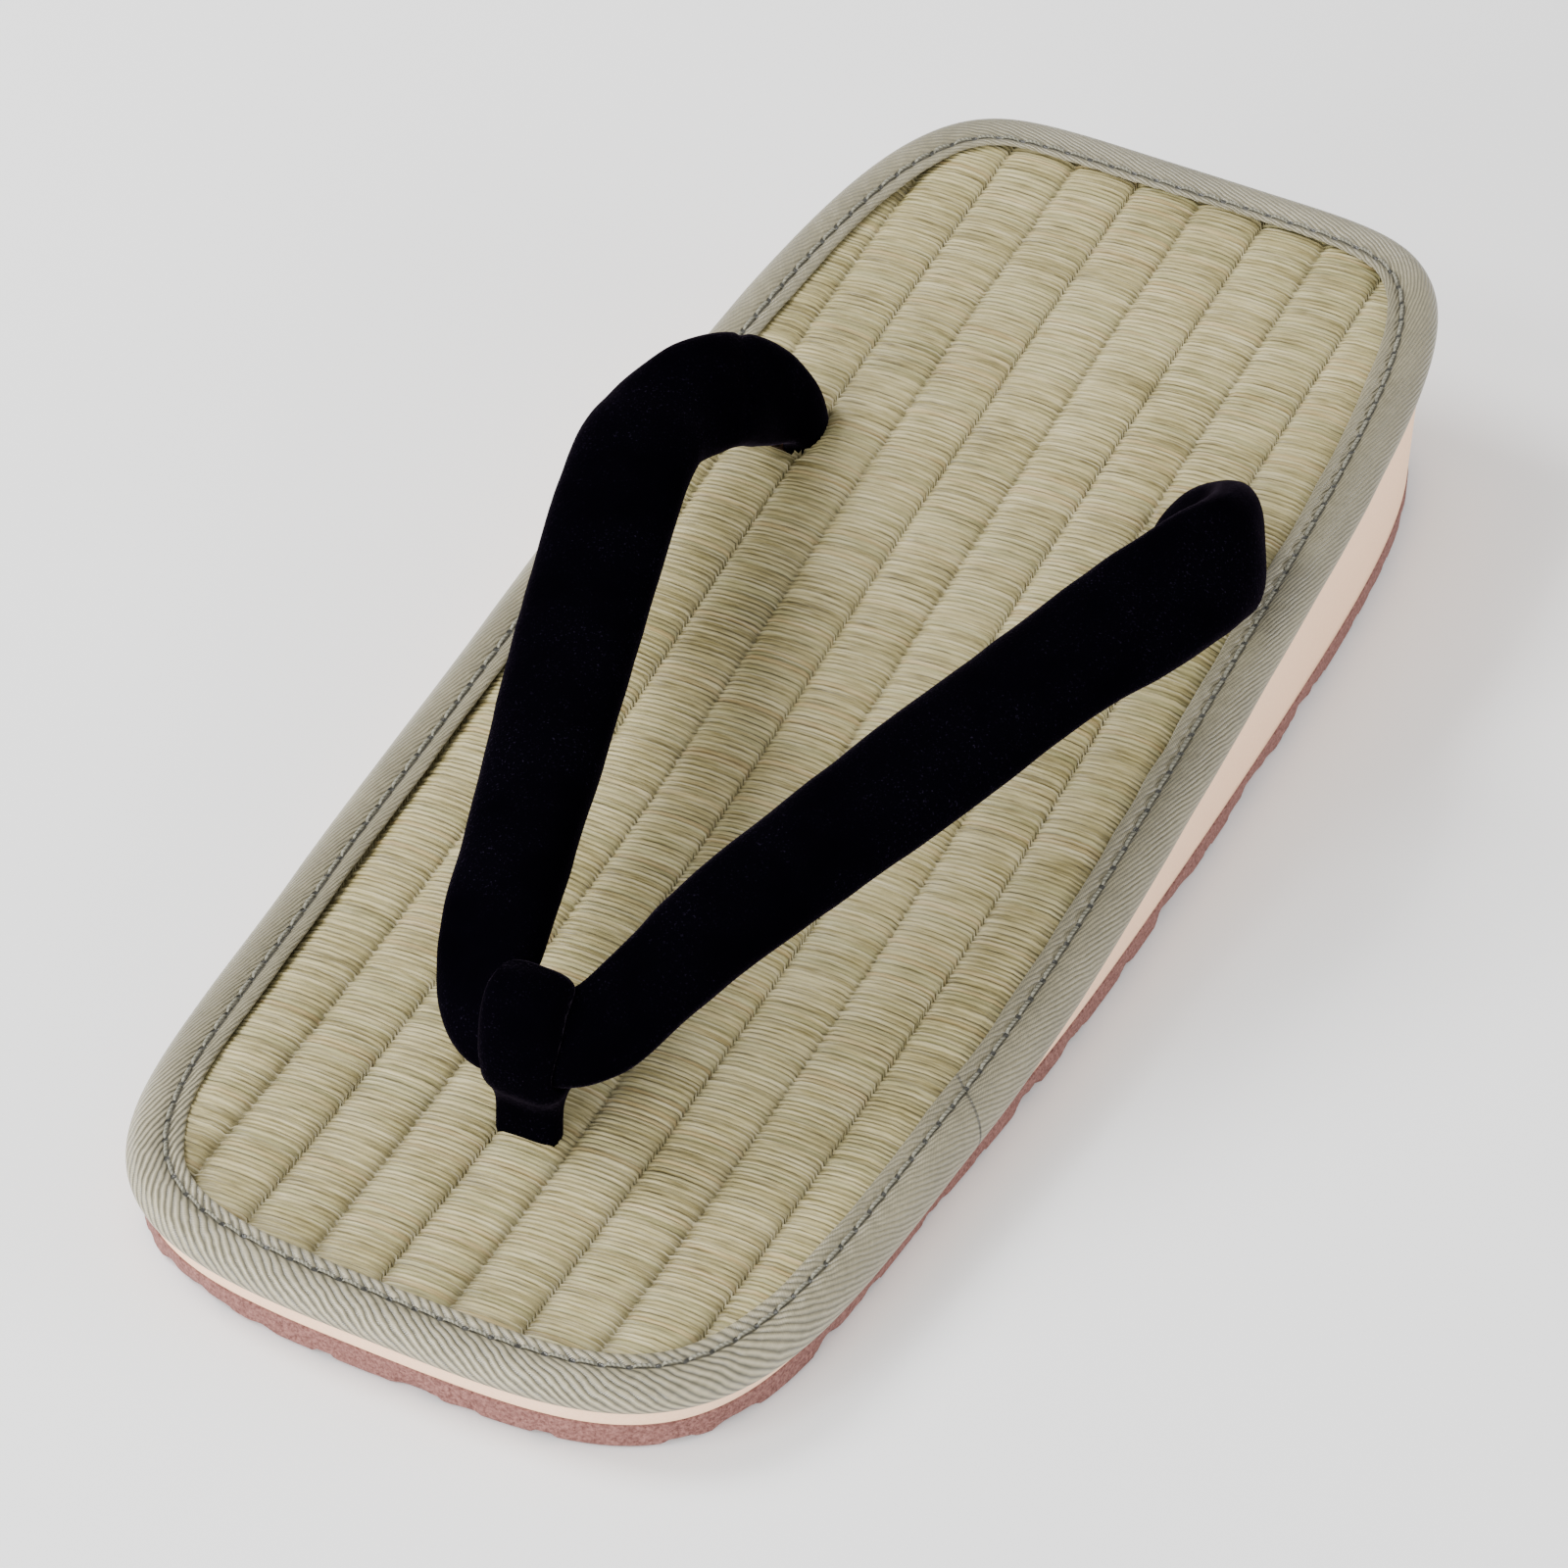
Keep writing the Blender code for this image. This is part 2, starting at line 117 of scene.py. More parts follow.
# Sections of the strap arms: along, out, rise, width, thick, and side, back, lift toward the outer edge
APEX_ROW = (0.000, 0.00, 0.68, 0.75, 0.72, 0.00, -0.30, -0.95)
LEFT_ROWS = (
    (0.018, 0.28, 0.69, 0.83, 0.80, 0.32, -0.40, -0.85),
    (0.090, 0.41, 0.87, 0.82, 0.95, 0.78, -0.45, -0.43),
    (0.194, 0.56, 0.94, 0.82, 1.00, 0.93, -0.33, -0.15),
    (0.400, 0.88, 0.97, 0.90, 0.95, 0.95, -0.30, -0.05),
    (0.610, 1.19, 0.92, 0.92, 0.95, 0.95, -0.30, 0.00),
    (0.715, 1.33, 0.86, 0.93, 0.95, 0.94, -0.33, 0.05),
    (0.795, 1.35, 0.74, 0.89, 0.95, 0.90, -0.30, 0.25),
    (0.870, 1.26, 0.63, 0.90, 0.95, 0.75, 0.00, 0.65),
    (0.938, 1.16, 0.35, 0.82, 0.85, 0.40, 0.30, 0.87),
    (0.984, 1.06, 0.02, 0.53, 0.70, 0.30, 0.75, 0.60),
    (1.000, 1.03, -0.40, 0.45, 0.66, 0.30, 0.95, 0.00),
)
RIGHT_ROWS = (
    (0.018, 0.27, 0.72, 0.70, 0.78, 0.32, -0.40, -0.85),
    (0.090, 0.44, 0.87, 0.70, 0.85, 0.78, -0.45, -0.43),
    (0.194, 0.57, 0.94, 0.80, 0.94, 0.93, -0.33, -0.15),
    (0.400, 0.89, 0.97, 0.93, 0.95, 0.95, -0.30, -0.05),
    (0.610, 1.21, 0.92, 0.97, 0.95, 0.95, -0.30, 0.00),
    (0.715, 1.38, 0.85, 1.00, 0.95, 0.91, -0.35, -0.20),
    (0.810, 1.51, 0.76, 0.95, 0.95, 0.80, -0.35, -0.48),
    (0.885, 1.55, 0.61, 0.90, 0.95, 0.50, -0.30, -0.80),
    (0.950, 1.43, 0.40, 0.80, 0.90, 0.15, -0.30, -0.94),
    (0.985, 1.20, 0.18, 0.61, 0.80, 0.10, -0.55, -0.83),
    (1.000, 1.03, -0.09, 0.48, 0.70, 0.30, -0.90, -0.30),
    (1.000, 1.00, -0.40, 0.45, 0.66, 0.30, -0.95, 0.00),
)

# Sections of the toe loop: level, width, depth
LOOP_ROWS = (
    (0.00, 0.74, 0.00),
    (0.26, 0.75, 0.02),
    (0.42, 0.82, 0.30),
    (0.58, 0.96, 0.75),
    (0.82, 1.00, 0.98),
    (1.12, 0.98, 1.00),
    (1.33, 0.93, 0.88),
    (1.47, 0.86, 0.62),
    (1.53, 0.78, 0.30),
)

# Points round an outline, and round a section of the straps, the loop and its cutter
OUTLINE_COUNT = 720
OUTLINE_DENSE = 2401
DEPTH_COUNT = 360
STRAP_SIDES = 56
LOOP_SIDES = 64
CUTTER_SIDES = 32
TINY = 1e-9

# Rush strands: columns are places across one ridge, rows places along one strand
STRAND_PITCH = 0.00088
STRAND_COLUMNS = (0.0, 0.035, 0.10, 0.25, 0.50, 0.75, 0.90, 0.965)
STRAND_ROWS = (0.0, 0.22, 0.5, 0.78)
FIRST_RIDGE = -5
LAST_RIDGE = 5

# Unevenness of the strands, in strands: drift along the sole, bow, slant and jitter of each
STRAND_DRIFT = 0.30
STRAND_BOW = 0.112
STRAND_SLANT = 0.22
STRAND_JITTER = 0.26

# Heights on the mat, in metres
STRAND_DEPTH = 0.26 * MM
STRAND_DEPTH_SPREAD = 0.10 * MM
STRAND_RISE_SPREAD = 0.24 * MM
STRAND_TUCK = 0.30 * MM
MAT_WAVE = 0.25 * MM
MAT_WAVE_SIZE = 0.022
TAPE_DIP = 0.40 * MM
TAPE_DIP_REACH = 0.0014
HOLE_DIP = 0.9 * MM
HOLE_DIP_REACH = 0.0011
MAT_UNDER_TAPE = 0.0052
MAT_UNDER_STRAP = 0.0006
STRAP_NEAR_MAT = 0.0012

# Twill tape: rib spacing, and how many ribs are crossed per pitch along the edge and away from the stitches
RIB_PITCH = 0.00100
RIB_ALONG = 0.55
RIB_ACROSS_TOE = 0.75
RIB_ACROSS_SIDE = 1.50
YARN_PITCH = 0.00042

# Lengths along the tape from the toe's middle, over which the toe's turned ribs and stronger painted rib
# shading fade, and strands from the toe, over which the painted shade on the ridges' sides fades
TOE_ZONE = (0.080, 0.050)
TOE_STRANDS = (115.0, 35.0)

# Radii and half widths over which a painted mark fades, from outside to inside, and the lap's end and step
HOLE_FADE = (0.00062, 0.00040)
LINE_FADE = (0.00056, 0.00036)
LAP_FADE = (0.00040, 0.00012)
LAP_END = (-0.0052, -0.0046)
LAP_STEP = 0.0002

# Where the tape's end laps over its start: place along the edge and slant
LAP_PLACE = 0.1087
LAP_SLANT = -0.37

# Form of the tape: groove under the stitches, puckers beside it, waves, and a wavy inner hem
TAPE_STEPS = 3
TAPE_INNER_SHARE = 0.9
GROOVE_SINK = 0.00030
GROOVE_REACH = 0.00075
PUCKER_PLACE = 0.0012
PUCKER_OUTER = (0.00007, 0.0016)
PUCKER_INNER = (0.00006, 0.0010)
TAPE_WAVE = 0.00010
TAPE_WAVE_SIZE = 0.009
HEM_SWAY = 0.00018
HEM_SWAY_SIZE = 0.006
HEM_REACH = 0.0006

# Stitch line: inset from the rim at the sides, and how much more at the heel and at the toe
STITCH_PITCH = 0.0039
STITCH_INSET = 0.00541
STITCH_INSET_HEEL = 0.00108
STITCH_INSET_TOE = 0.00016
INNER_RING = 0.0066
OUTER_RING = 0.0054
STITCH_PROFILE_ROWS = 15

# One stitch: share of the pitch, rise in millimetres, girth as a share
STITCH_ROWS = (
    (0.10, -0.55, 0.75),
    (0.15, -0.12, 0.90),
    (0.22, 0.10, 1.00),
    (0.35, 0.17, 1.00),
    (0.50, 0.19, 1.00),
    (0.65, 0.17, 1.00),
    (0.78, 0.10, 1.00),
    (0.85, -0.12, 0.90),
    (0.90, -0.55, 0.75),
)
THREAD_LIFT = 0.00018
THREAD_HALF_WIDTH = 0.26 * MM
THREAD_HALF_HEIGHT = 0.20 * MM
THREAD_SIDES = 8
PLY_PITCH = 0.0007
THREAD_SLANT = 0.16 * MM
THREAD_UNEVEN = 0.02 * MM

# Outsole: unevenness of its lower edge, the share of its thickness that is worn, and the smoothing angle
EDGE_WEAR = 0.0011
WEAR_SHARE = 0.6
SOLE_EDGE = 0.0002
SHARP_ANGLE = math.radians(28)

# Foam wedge
FOAM_LEVELS = 14
FOAM_WAVE = 0.0006
FOAM_GAP = 0.00005

# Lumps of the padding: height and size
PADDING_SINK = 0.00010
PADDING_COARSE = (0.00022, 0.011)
PADDING_FINE = (0.00010, 0.0045)

# Crease where the left arm folds over: share of the arm, and sizes in metres
FOLD_ALONG = 0.885
FOLD_SLANT = -0.0045
FOLD_DEPTH = 0.0006
FOLD_WIDTH = 0.0009

# Colours, linear
RUSH_TONES = (
    (0.08, (0.103, 0.079, 0.025)),
    (0.26, (0.194, 0.159, 0.061)),
    (0.44, (0.297, 0.250, 0.110)),
    (0.60, (0.368, 0.316, 0.153)),
    (0.78, (0.440, 0.384, 0.210)),
    (1.00, (0.529, 0.471, 0.296)),
)
RUSH_GREEN = (0.258, 0.261, 0.124)
RUSH_TAN = (0.370, 0.246, 0.102)
RUSH_SHADE = (0.039, 0.029, 0.009)
RUSH_FIBRE = (0.550, 0.492, 0.326)
# The next colour is a painted highlight along the tops of the strands
RUSH_CREST_HIGHLIGHT = (0.600, 0.545, 0.360)
TWILL_TONES = (
    (0.12, (0.055, 0.049, 0.026)),
    (0.42, (0.135, 0.119, 0.068)),
    (0.74, (0.236, 0.208, 0.126)),
    (1.00, (0.353, 0.312, 0.204)),
)
# The next two colours are painted shade, in the stitch groove and in the stitch holes
TWILL_GROOVE_SHADE = (0.059, 0.052, 0.031)
TWILL_HOLE_SHADE = (0.009, 0.009, 0.006)
TWILL_LAP = (0.039, 0.034, 0.020)
THREAD_DARK = (0.110, 0.106, 0.078)
THREAD_PALE = (0.330, 0.318, 0.245)
VELVET_DARK = (0.0002, 0.0001, 0.0004)
VELVET_PALE = (0.0012, 0.0010, 0.0022)
VELVET_FLECK = (0.017, 0.013, 0.026)
VELVET_SHEEN = (0.56, 0.42, 0.62, 1.0)
FOAM_DARK = (0.860, 0.515, 0.315)
FOAM_PALE = (0.990, 0.700, 0.485)
FOAM_CLOUD = (0.950, 0.640, 0.430)
RUBBER_DARK = (0.101, 0.037, 0.031)
RUBBER_PALE = (0.277, 0.131, 0.112)
RUBBER_FLECK = (0.395, 0.223, 0.196)
RUBBER_CLOUD = (0.160, 0.072, 0.059)
FLOOR_COLOUR = (0.98, 0.98, 0.98)

# The photo's camera, from a scratch fit: angles in degrees, places in metres, focal length in picture widths
CAMERA_ANGLES = (29.8427, 39.8513, -0.4722)
CAMERA_CENTRE = (0, 0, 0.015)
CAMERA_DISTANCE = 1.0145864
CAMERA_RIGHT = -0.0574246
CAMERA_UP = 0.0067981
PHOTO_PIXELS = 1600
PHOTO_FOCAL = 4369.54 / PHOTO_PIXELS

# This sandal's middle in the photo, in pixels right of and below the centre, and how far it is enlarged
AIM_RIGHT = 224.5
AIM_DOWN = 52.0
ZOOM = 1.62
SENSOR_WIDTH = 36.0

# Stage
FLOOR_HALF = 6.0
FLOOR_DROP = 0.0002
WORLD_STRENGTH = 0.93

# Lights: name, place, aim, size, power
LIGHTS = (
    ("key", (-1.00, -0.15, 1.08), (0, 0.03, 0.02), (0.6, 0.6), 21.0),
    ("toe", (-0.30, -1.30, 0.30), (0, -0.05, 0.02), (1.0, 0.3), 24.0),
    ("gloss", (-0.60, -1.00, 1.05), (0, -0.08, 0.02), (0.35, 0.35), 7.0),
    ("side", (1.20, 0.20, 0.42), (0, 0, 0.02), (0.8, 0.3), 8.0),
)


# Shapes


def bell(value, reach):
    """One at zero, falling off smoothly over the reach."""
    return np.exp(-((value / reach) ** 2))


def rim_height(y):
    """Height of the mat's rim along the sole: a smooth curve through the rim's rows."""
    place, rise = np.array(RIM_ROWS).T
    slope = np.gradient(rise, place)
    t = np.clip(np.asarray(y) / (LENGTH / 2), place[0], place[-1])
    low = np.clip(np.searchsorted(place, t, side="right") - 1, 0, len(place) - 2)
    span = place[low + 1] - place[low]
    u = (t - place[low]) / span
    start = rise[low] * (1 + 2 * u) * (1 - u) ** 2 + slope[low] * span * u * (1 - u) ** 2
    end = rise[low + 1] * u * u * (3 - 2 * u) + slope[low + 1] * span * u * u * (u - 1)
    return TOE_HEIGHT + (HEEL_HEIGHT - TOE_HEIGHT) * (start + end)


def half_width(t):
    """Half width of the straight sides; t runs from -1 at the toe to 1 at the heel."""
    toward_toe = np.clip((BALL_PLACE - t) / (1 + BALL_PLACE), 0, None)
    toward_heel = np.clip((t - BALL_PLACE) / (1 - BALL_PLACE), 0, None)
    return HALF_WIDTH * (1 + TOE_FLARE * toward_toe**2 - HEEL_TAPER * toward_heel**2)


def right_outline(inset, waist, count):
    """Right half of the sole's outline from toe to heel, in even steps."""
    angle = np.linspace(-math.pi / 2, math.pi / 2, OUTLINE_DENSE)
    power = 2 / np.where(angle < 0, TOE_ROUNDING, HEEL_ROUNDING)
    t = np.sign(angle) * np.abs(np.sin(angle)) ** power
    x = half_width(t) * np.clip(np.cos(angle), 0, None) ** power
    line = np.column_stack([x, t * LENGTH / 2])
    run = np.gradient(line, axis=0)
    normal = np.column_stack([run[:, 1], -run[:, 0]])
    normal /= np.linalg.norm(normal, axis=1)[:, None]
    tuck = waist * bell(t - WAIST_PLACE, WAIST_REACH) * np.abs(normal[:, 0])
    line = line - normal * (inset + tuck)[:, None]
    line = line[line[:, 0] > 0]
    line = np.vstack([(0, line[0, 1]), line, (0, line[-1, 1])])
    way = np.concatenate([[0], np.cumsum(np.linalg.norm(np.diff(line, axis=0), axis=1))])
    even = np.linspace(0, way[-1], count // 2 + 1)
    return np.column_stack([np.interp(even, way, line[:, k]) for k in range(2)])


def outline(inset, waist=0.0, count=OUTLINE_COUNT):
    right = right_outline(inset, waist, count)
    return np.vstack([right, right[-2:0:-1] * (-1, 1)])


def catmull(rows, steps):
    """A Catmull-Rom curve through the rows, with the given steps between them."""
    rows = np.asarray(rows, float)
    padded = np.vstack([2 * rows[0] - rows[1], rows, 2 * rows[-1] - rows[-2]])
    made = []
    for a, b, c, d in zip(padded, padded[1:], padded[2:], padded[3:]):
        for u in np.arange(steps) / steps:
            square = (2 * a - 5 * b + 4 * c - d) * u**2
            cube = (3 * b - a - 3 * c + d) * u**3
            made.append(0.5 * (2 * b + (c - a) * u + square + cube))
    return np.vstack([made, rows[-1]])


def hash_noise(cells, seed):
    """Repeatable noise in 0..1 for whole-number cells, mixed with the constants of splitmix64."""
    mixers = (0x9E3779B97F4A7C15, 0xBF58476D1CE4E5B9, 0x94D049BB133111EB)
    offset, first, last = (np.uint64(c) for c in mixers)
    n = np.zeros(cells.shape[:-1], dtype=np.uint64) + np.uint64(seed * 7919 + 17)
    for k in range(cells.shape[-1]):
        n = (n ^ (cells[..., k].astype(np.int64).astype(np.uint64) + offset)) * first
        n ^= n >> np.uint64(29)
    n *= last
    n ^= n >> np.uint64(32)
    return (n & np.uint64(0xFFFFFF)).astype(float) / 0xFFFFFF


def soft_noise(points, scale, seed):
    """Smooth value noise in -1..1."""
    p = np.asarray(points, float) / scale
    base = np.floor(p)
    f = p - base
    f = f * f * (3 - 2 * f)
    total = np.zeros(p.shape[:-1])
    dims = p.shape[-1]
    for corner in range(2**dims):
        offset = np.array([(corner >> k) & 1 for k in range(dims)])
        weight = np.prod(np.where(offset == 1, f, 1 - f), axis=-1)
        total += weight * hash_noise(base + offset, seed)
    return 2 * total - 1


def smooth_step(low, high, value):
    t = np.clip((value - low) / (high - low), 0, 1)
    return t * t * (3 - 2 * t)


# Meshes


def finish_mesh(name, points, faces, uv, material, smooth=True):
    mesh = bpy.data.meshes.new(name)
    mesh.from_pydata(np.asarray(points).reshape(-1, 3).tolist(), [], faces)
    if uv is not None:
        layer = mesh.uv_layers.new(name="UVMap")
        layer.data.foreach_set("uv", np.asarray(uv, dtype=np.float32).ravel())
    if smooth:
        mesh.shade_smooth()
    mesh.update()
    made = bpy.data.objects.new(name, mesh)
    bpy.context.scene.collection.objects.link(made)
    if material is not None:
        mesh.materials.append(material)
    return made


def grid_piece(name, points, uv, material, close_rows=False, close_cols=False, keep=None, caps=False):
    """A sheet or tube from a grid of points; uv has one more row or column where it closes."""
    rows, cols = points.shape[:2]
    down = np.arange(rows if close_rows else rows - 1)
    over = np.arange(cols if close_cols else cols - 1)
    i, j = np.meshgrid(down, over, indexing="ij")
    corners = [(i, j), (i, j + 1), (i + 1, j + 1), (i + 1, j)]
    faces = np.stack([(a % rows) * cols + (b % cols) for a, b in corners], axis=-1)
    texture = np.stack([uv[a, b] for a, b in corners], axis=-2)
    if keep is not None:
        faces, texture = faces[keep], texture[keep]
    faces = faces.reshape(-1, 4)
    texture = texture.reshape(-1, 2)
    listed = faces.tolist()
    if caps:
        first = list(range(cols))
        last = [(rows - 1) * cols + k for k in range(cols)]
        listed += [last, first[::-1]]
        texture = np.vstack([texture, np.zeros((2 * cols, 2))])
    return finish_mesh(name, points, listed, texture, material)


def clean_loose(piece):
    shape = bmesh.new()
    shape.from_mesh(piece.data)
    loose = [v for v in shape.verts if not v.link_faces]
    bmesh.ops.delete(shape, geom=loose, context="VERTS")
    shape.to_mesh(piece.data)
    shape.free()


def outward(piece):
    shape = bmesh.new()
    shape.from_mesh(piece.data)
    bmesh.ops.recalc_face_normals(shape, faces=shape.faces)
    shape.to_mesh(piece.data)
    shape.free()


# Materials


class Shader:
    """A Principled material with short calls for its nodes. Weights in the looks are given one by one."""

    def __init__(self, name, **constants):
        self.material = bpy.data.materials.new(name)
        self.material.use_nodes = True
        self.tree = self.material.node_tree
        self.principled = self.tree.nodes["Principled BSDF"]
        for key, value in constants.items():
            self.principled.inputs[key.replace("_", " ")].default_value = value

    def put(self, socket, value):
        if hasattr(value, "is_output"):
            self.tree.links.new(value, socket)
        else:
            if hasattr(value, "__len__") and len(value) == 3:
                value = (*value, 1.0)
            socket.default_value = value

    def node(self, kind, inputs, out=0):
        made = self.tree.nodes.new(kind)
        for key, value in inputs.items():
            self.put(made.inputs[key], value)
        return made.outputs[out]

    def math(self, operation, *values):
        made = self.tree.nodes.new("ShaderNodeMath")
        made.operation = operation
        for socket, value in zip(made.inputs, values):
            self.put(socket, value)
        return made.outputs[0]

    def add(self, a, b):
        return self.math("ADD", a, b)

    def sub(self, a, b):
        return self.math("SUBTRACT", a, b)

    def mul(self, a, b):
        return self.math("MULTIPLY", a, b)

    def step(self, value, low, high, out_low=0.0, out_high=1.0):
        """A smooth step from one output to the other as the value goes from low to high."""
        made = self.tree.nodes.new("ShaderNodeMapRange")
        made.interpolation_type = "SMOOTHSTEP"
        for socket, item in zip(made.inputs, (value, low, high, out_low, out_high)):
            self.put(socket, item)
        return made.outputs[0]

    def mix(self, factor, a, b):
        made = self.tree.nodes.new("ShaderNodeMix")
        made.data_type = "RGBA"
        self.put(made.inputs[0], factor)
        self.put(made.inputs[6], a)
        self.put(made.inputs[7], b)
        return made.outputs[2]

    def ramp(self, factor, stops):
        made = self.tree.nodes.new("ShaderNodeValToRGB")
        elements = made.color_ramp.elements
        while len(elements) < len(stops):
            elements.new(0.5)
        for element, (place, colour) in zip(elements, stops):
            element.position = place
            element.color = (*colour, 1.0)
        self.put(made.inputs[0], factor)
        return made.outputs[0]

    def uv(self):
        made = self.tree.nodes.new("ShaderNodeUVMap")
        made.uv_map = "UVMap"
        split = self.tree.nodes.new("ShaderNodeSeparateXYZ")
        self.tree.links.new(made.outputs[0], split.inputs[0])
        return split.outputs[0], split.outputs[1]

    def place(self):
        """The piece's own coordinates."""
        return self.node("ShaderNodeTexCoord", {}, out=3)

    def vector(self, x, y, z=0.0):
        return self.node("ShaderNodeCombineXYZ", {0: x, 1: y, 2: z})

    def noise(self, vector, scale, detail=2.0, roughness=0.5):
        inputs = {"Vector": vector, "Scale": scale, "Detail": detail, "Roughness": roughness}
        return self.node("ShaderNodeTexNoise", inputs)

    def white(self, x, y, seed):
        return self.node("ShaderNodeTexWhiteNoise", {"Vector": self.vector(x, y, seed)})

    def bump(self, height, distance, strength):
        return self.node("ShaderNodeBump", {"Strength": strength, "Distance": distance, "Height": height})

    def use(self, **links):
        for key, value in links.items():
            self.put(self.principled.inputs[key.replace("_", " ")], value)
        return self.material


def rush_material():
    """Rush stems: u counts the ridges across the sole, v the strands along it."""
    s = Shader("rush strands", Specular_IOR_Level=0.35)
    u, v = s.uv()
    ridge, across = s.math("FLOOR", u), s.math("FRACT", u)
    strand, part = s.math("FLOOR", v), s.math("FRACT", v)

    # Tone of each strand
    own = s.white(ridge, strand, 1.0)
    whole = s.white(0.0, strand, 2.0)
    along = s.noise(s.vector(s.mul(u, 1.3), s.mul(strand, 3.7)), 1.0, 2.0)
    streak = s.noise(s.vector(s.mul(u, 1.9), s.mul(v, 2.3)), 1.0, 4.0, 0.62)
    patch = s.noise(s.place(), 42.0, 3.0, 0.55)
    tone = s.add(s.mul(own, 0.17), s.mul(whole, 0.13))
    tone = s.add(tone, s.mul(along, 0.34))
    tone = s.add(tone, s.mul(s.sub(streak, 0.5), 1.15))
    fine = s.noise(s.vector(s.mul(u, 1.4), s.mul(v, 5.5), 6.0), 1.0, 1.0)
    tone = s.add(tone, s.mul(s.sub(fine, 0.5), 0.55))
    tone = s.add(tone, s.mul(s.sub(patch, 0.5), 0.62))
    colour = s.ramp(s.add(tone, 0.16), RUSH_TONES)
    tint = s.white(ridge, s.add(strand, 31.0), 5.0)
    green = s.step(tint, 0.72, 0.96)
    tan = s.step(tint, 0.12, 0.03)
    colour = s.mix(s.mul(green, 0.26), colour, RUSH_GREEN)
    colour = s.mix(s.mul(tan, 0.34), colour, RUSH_TAN)

    # Painted shade in the gaps between strands, in the valleys between ridges and the knots in them, and on
    # the ridges' sides toward the toe
    edge = s.math("ABSOLUTE", s.sub(s.mul(part, 2.0), 1.0))
    side = s.math("ABSOLUTE", s.sub(s.mul(across, 2.0), 1.0))
    between = s.math("FLOOR", s.add(v, 0.5))
    open_gap = s.noise(s.vector(s.mul(u, 1.5), s.mul(between, 5.1), 4.0), 1.0, 2.0)
    gap = s.mul(s.step(edge, 0.60, 1.0), s.step(open_gap, 0.40, 0.66, 0.14, 0.82))
    valley_shade = s.step(side, 0.76, 1.0)
    front = s.step(v, *TOE_STRANDS)
    front_valley_shade = s.mul(s.mul(s.step(side, 0.45, 1.0), front), 0.34)
    shade = s.math("MAXIMUM", gap, s.add(s.mul(valley_shade, 0.20), front_valley_shade))
    pair = s.math("ABSOLUTE", s.sub(s.mul(s.math("FRACT", s.mul(v, 0.5)), 2.0), 1.0))
    knot_shade = s.mul(s.step(pair, 0.50, 0.86), s.step(side, 0.86, 0.97))
    shade = s.math("MAXIMUM", shade, s.mul(knot_shade, 0.58))
    colour = s.mix(shade, colour, RUSH_SHADE)

    # Pale fibres, and a painted highlight along the tops of the strands
    fibre = s.noise(s.vector(s.mul(u, 4.2), s.mul(v, 6.5)), 1.0, 3.0, 0.65)
    colour = s.mix(s.mul(s.step(fibre, 0.55, 0.72), 0.26), colour, RUSH_FIBRE)
    pale = s.noise(s.vector(s.mul(u, 1.1), s.mul(strand, 7.9), 9.0), 1.0, 1.0)
    crest_highlight = s.mul(s.step(edge, 0.50, 0.05), s.step(pale, 0.46, 0.64))
    colour = s.mix(s.mul(crest_highlight, 0.42), colour, RUSH_CREST_HIGHLIGHT)
    rough = s.add(0.40, s.mul(own, 0.14))
    return s.use(Base_Color=colour, Roughness=rough, Normal=s.bump(fibre, 0.00006, 0.6))


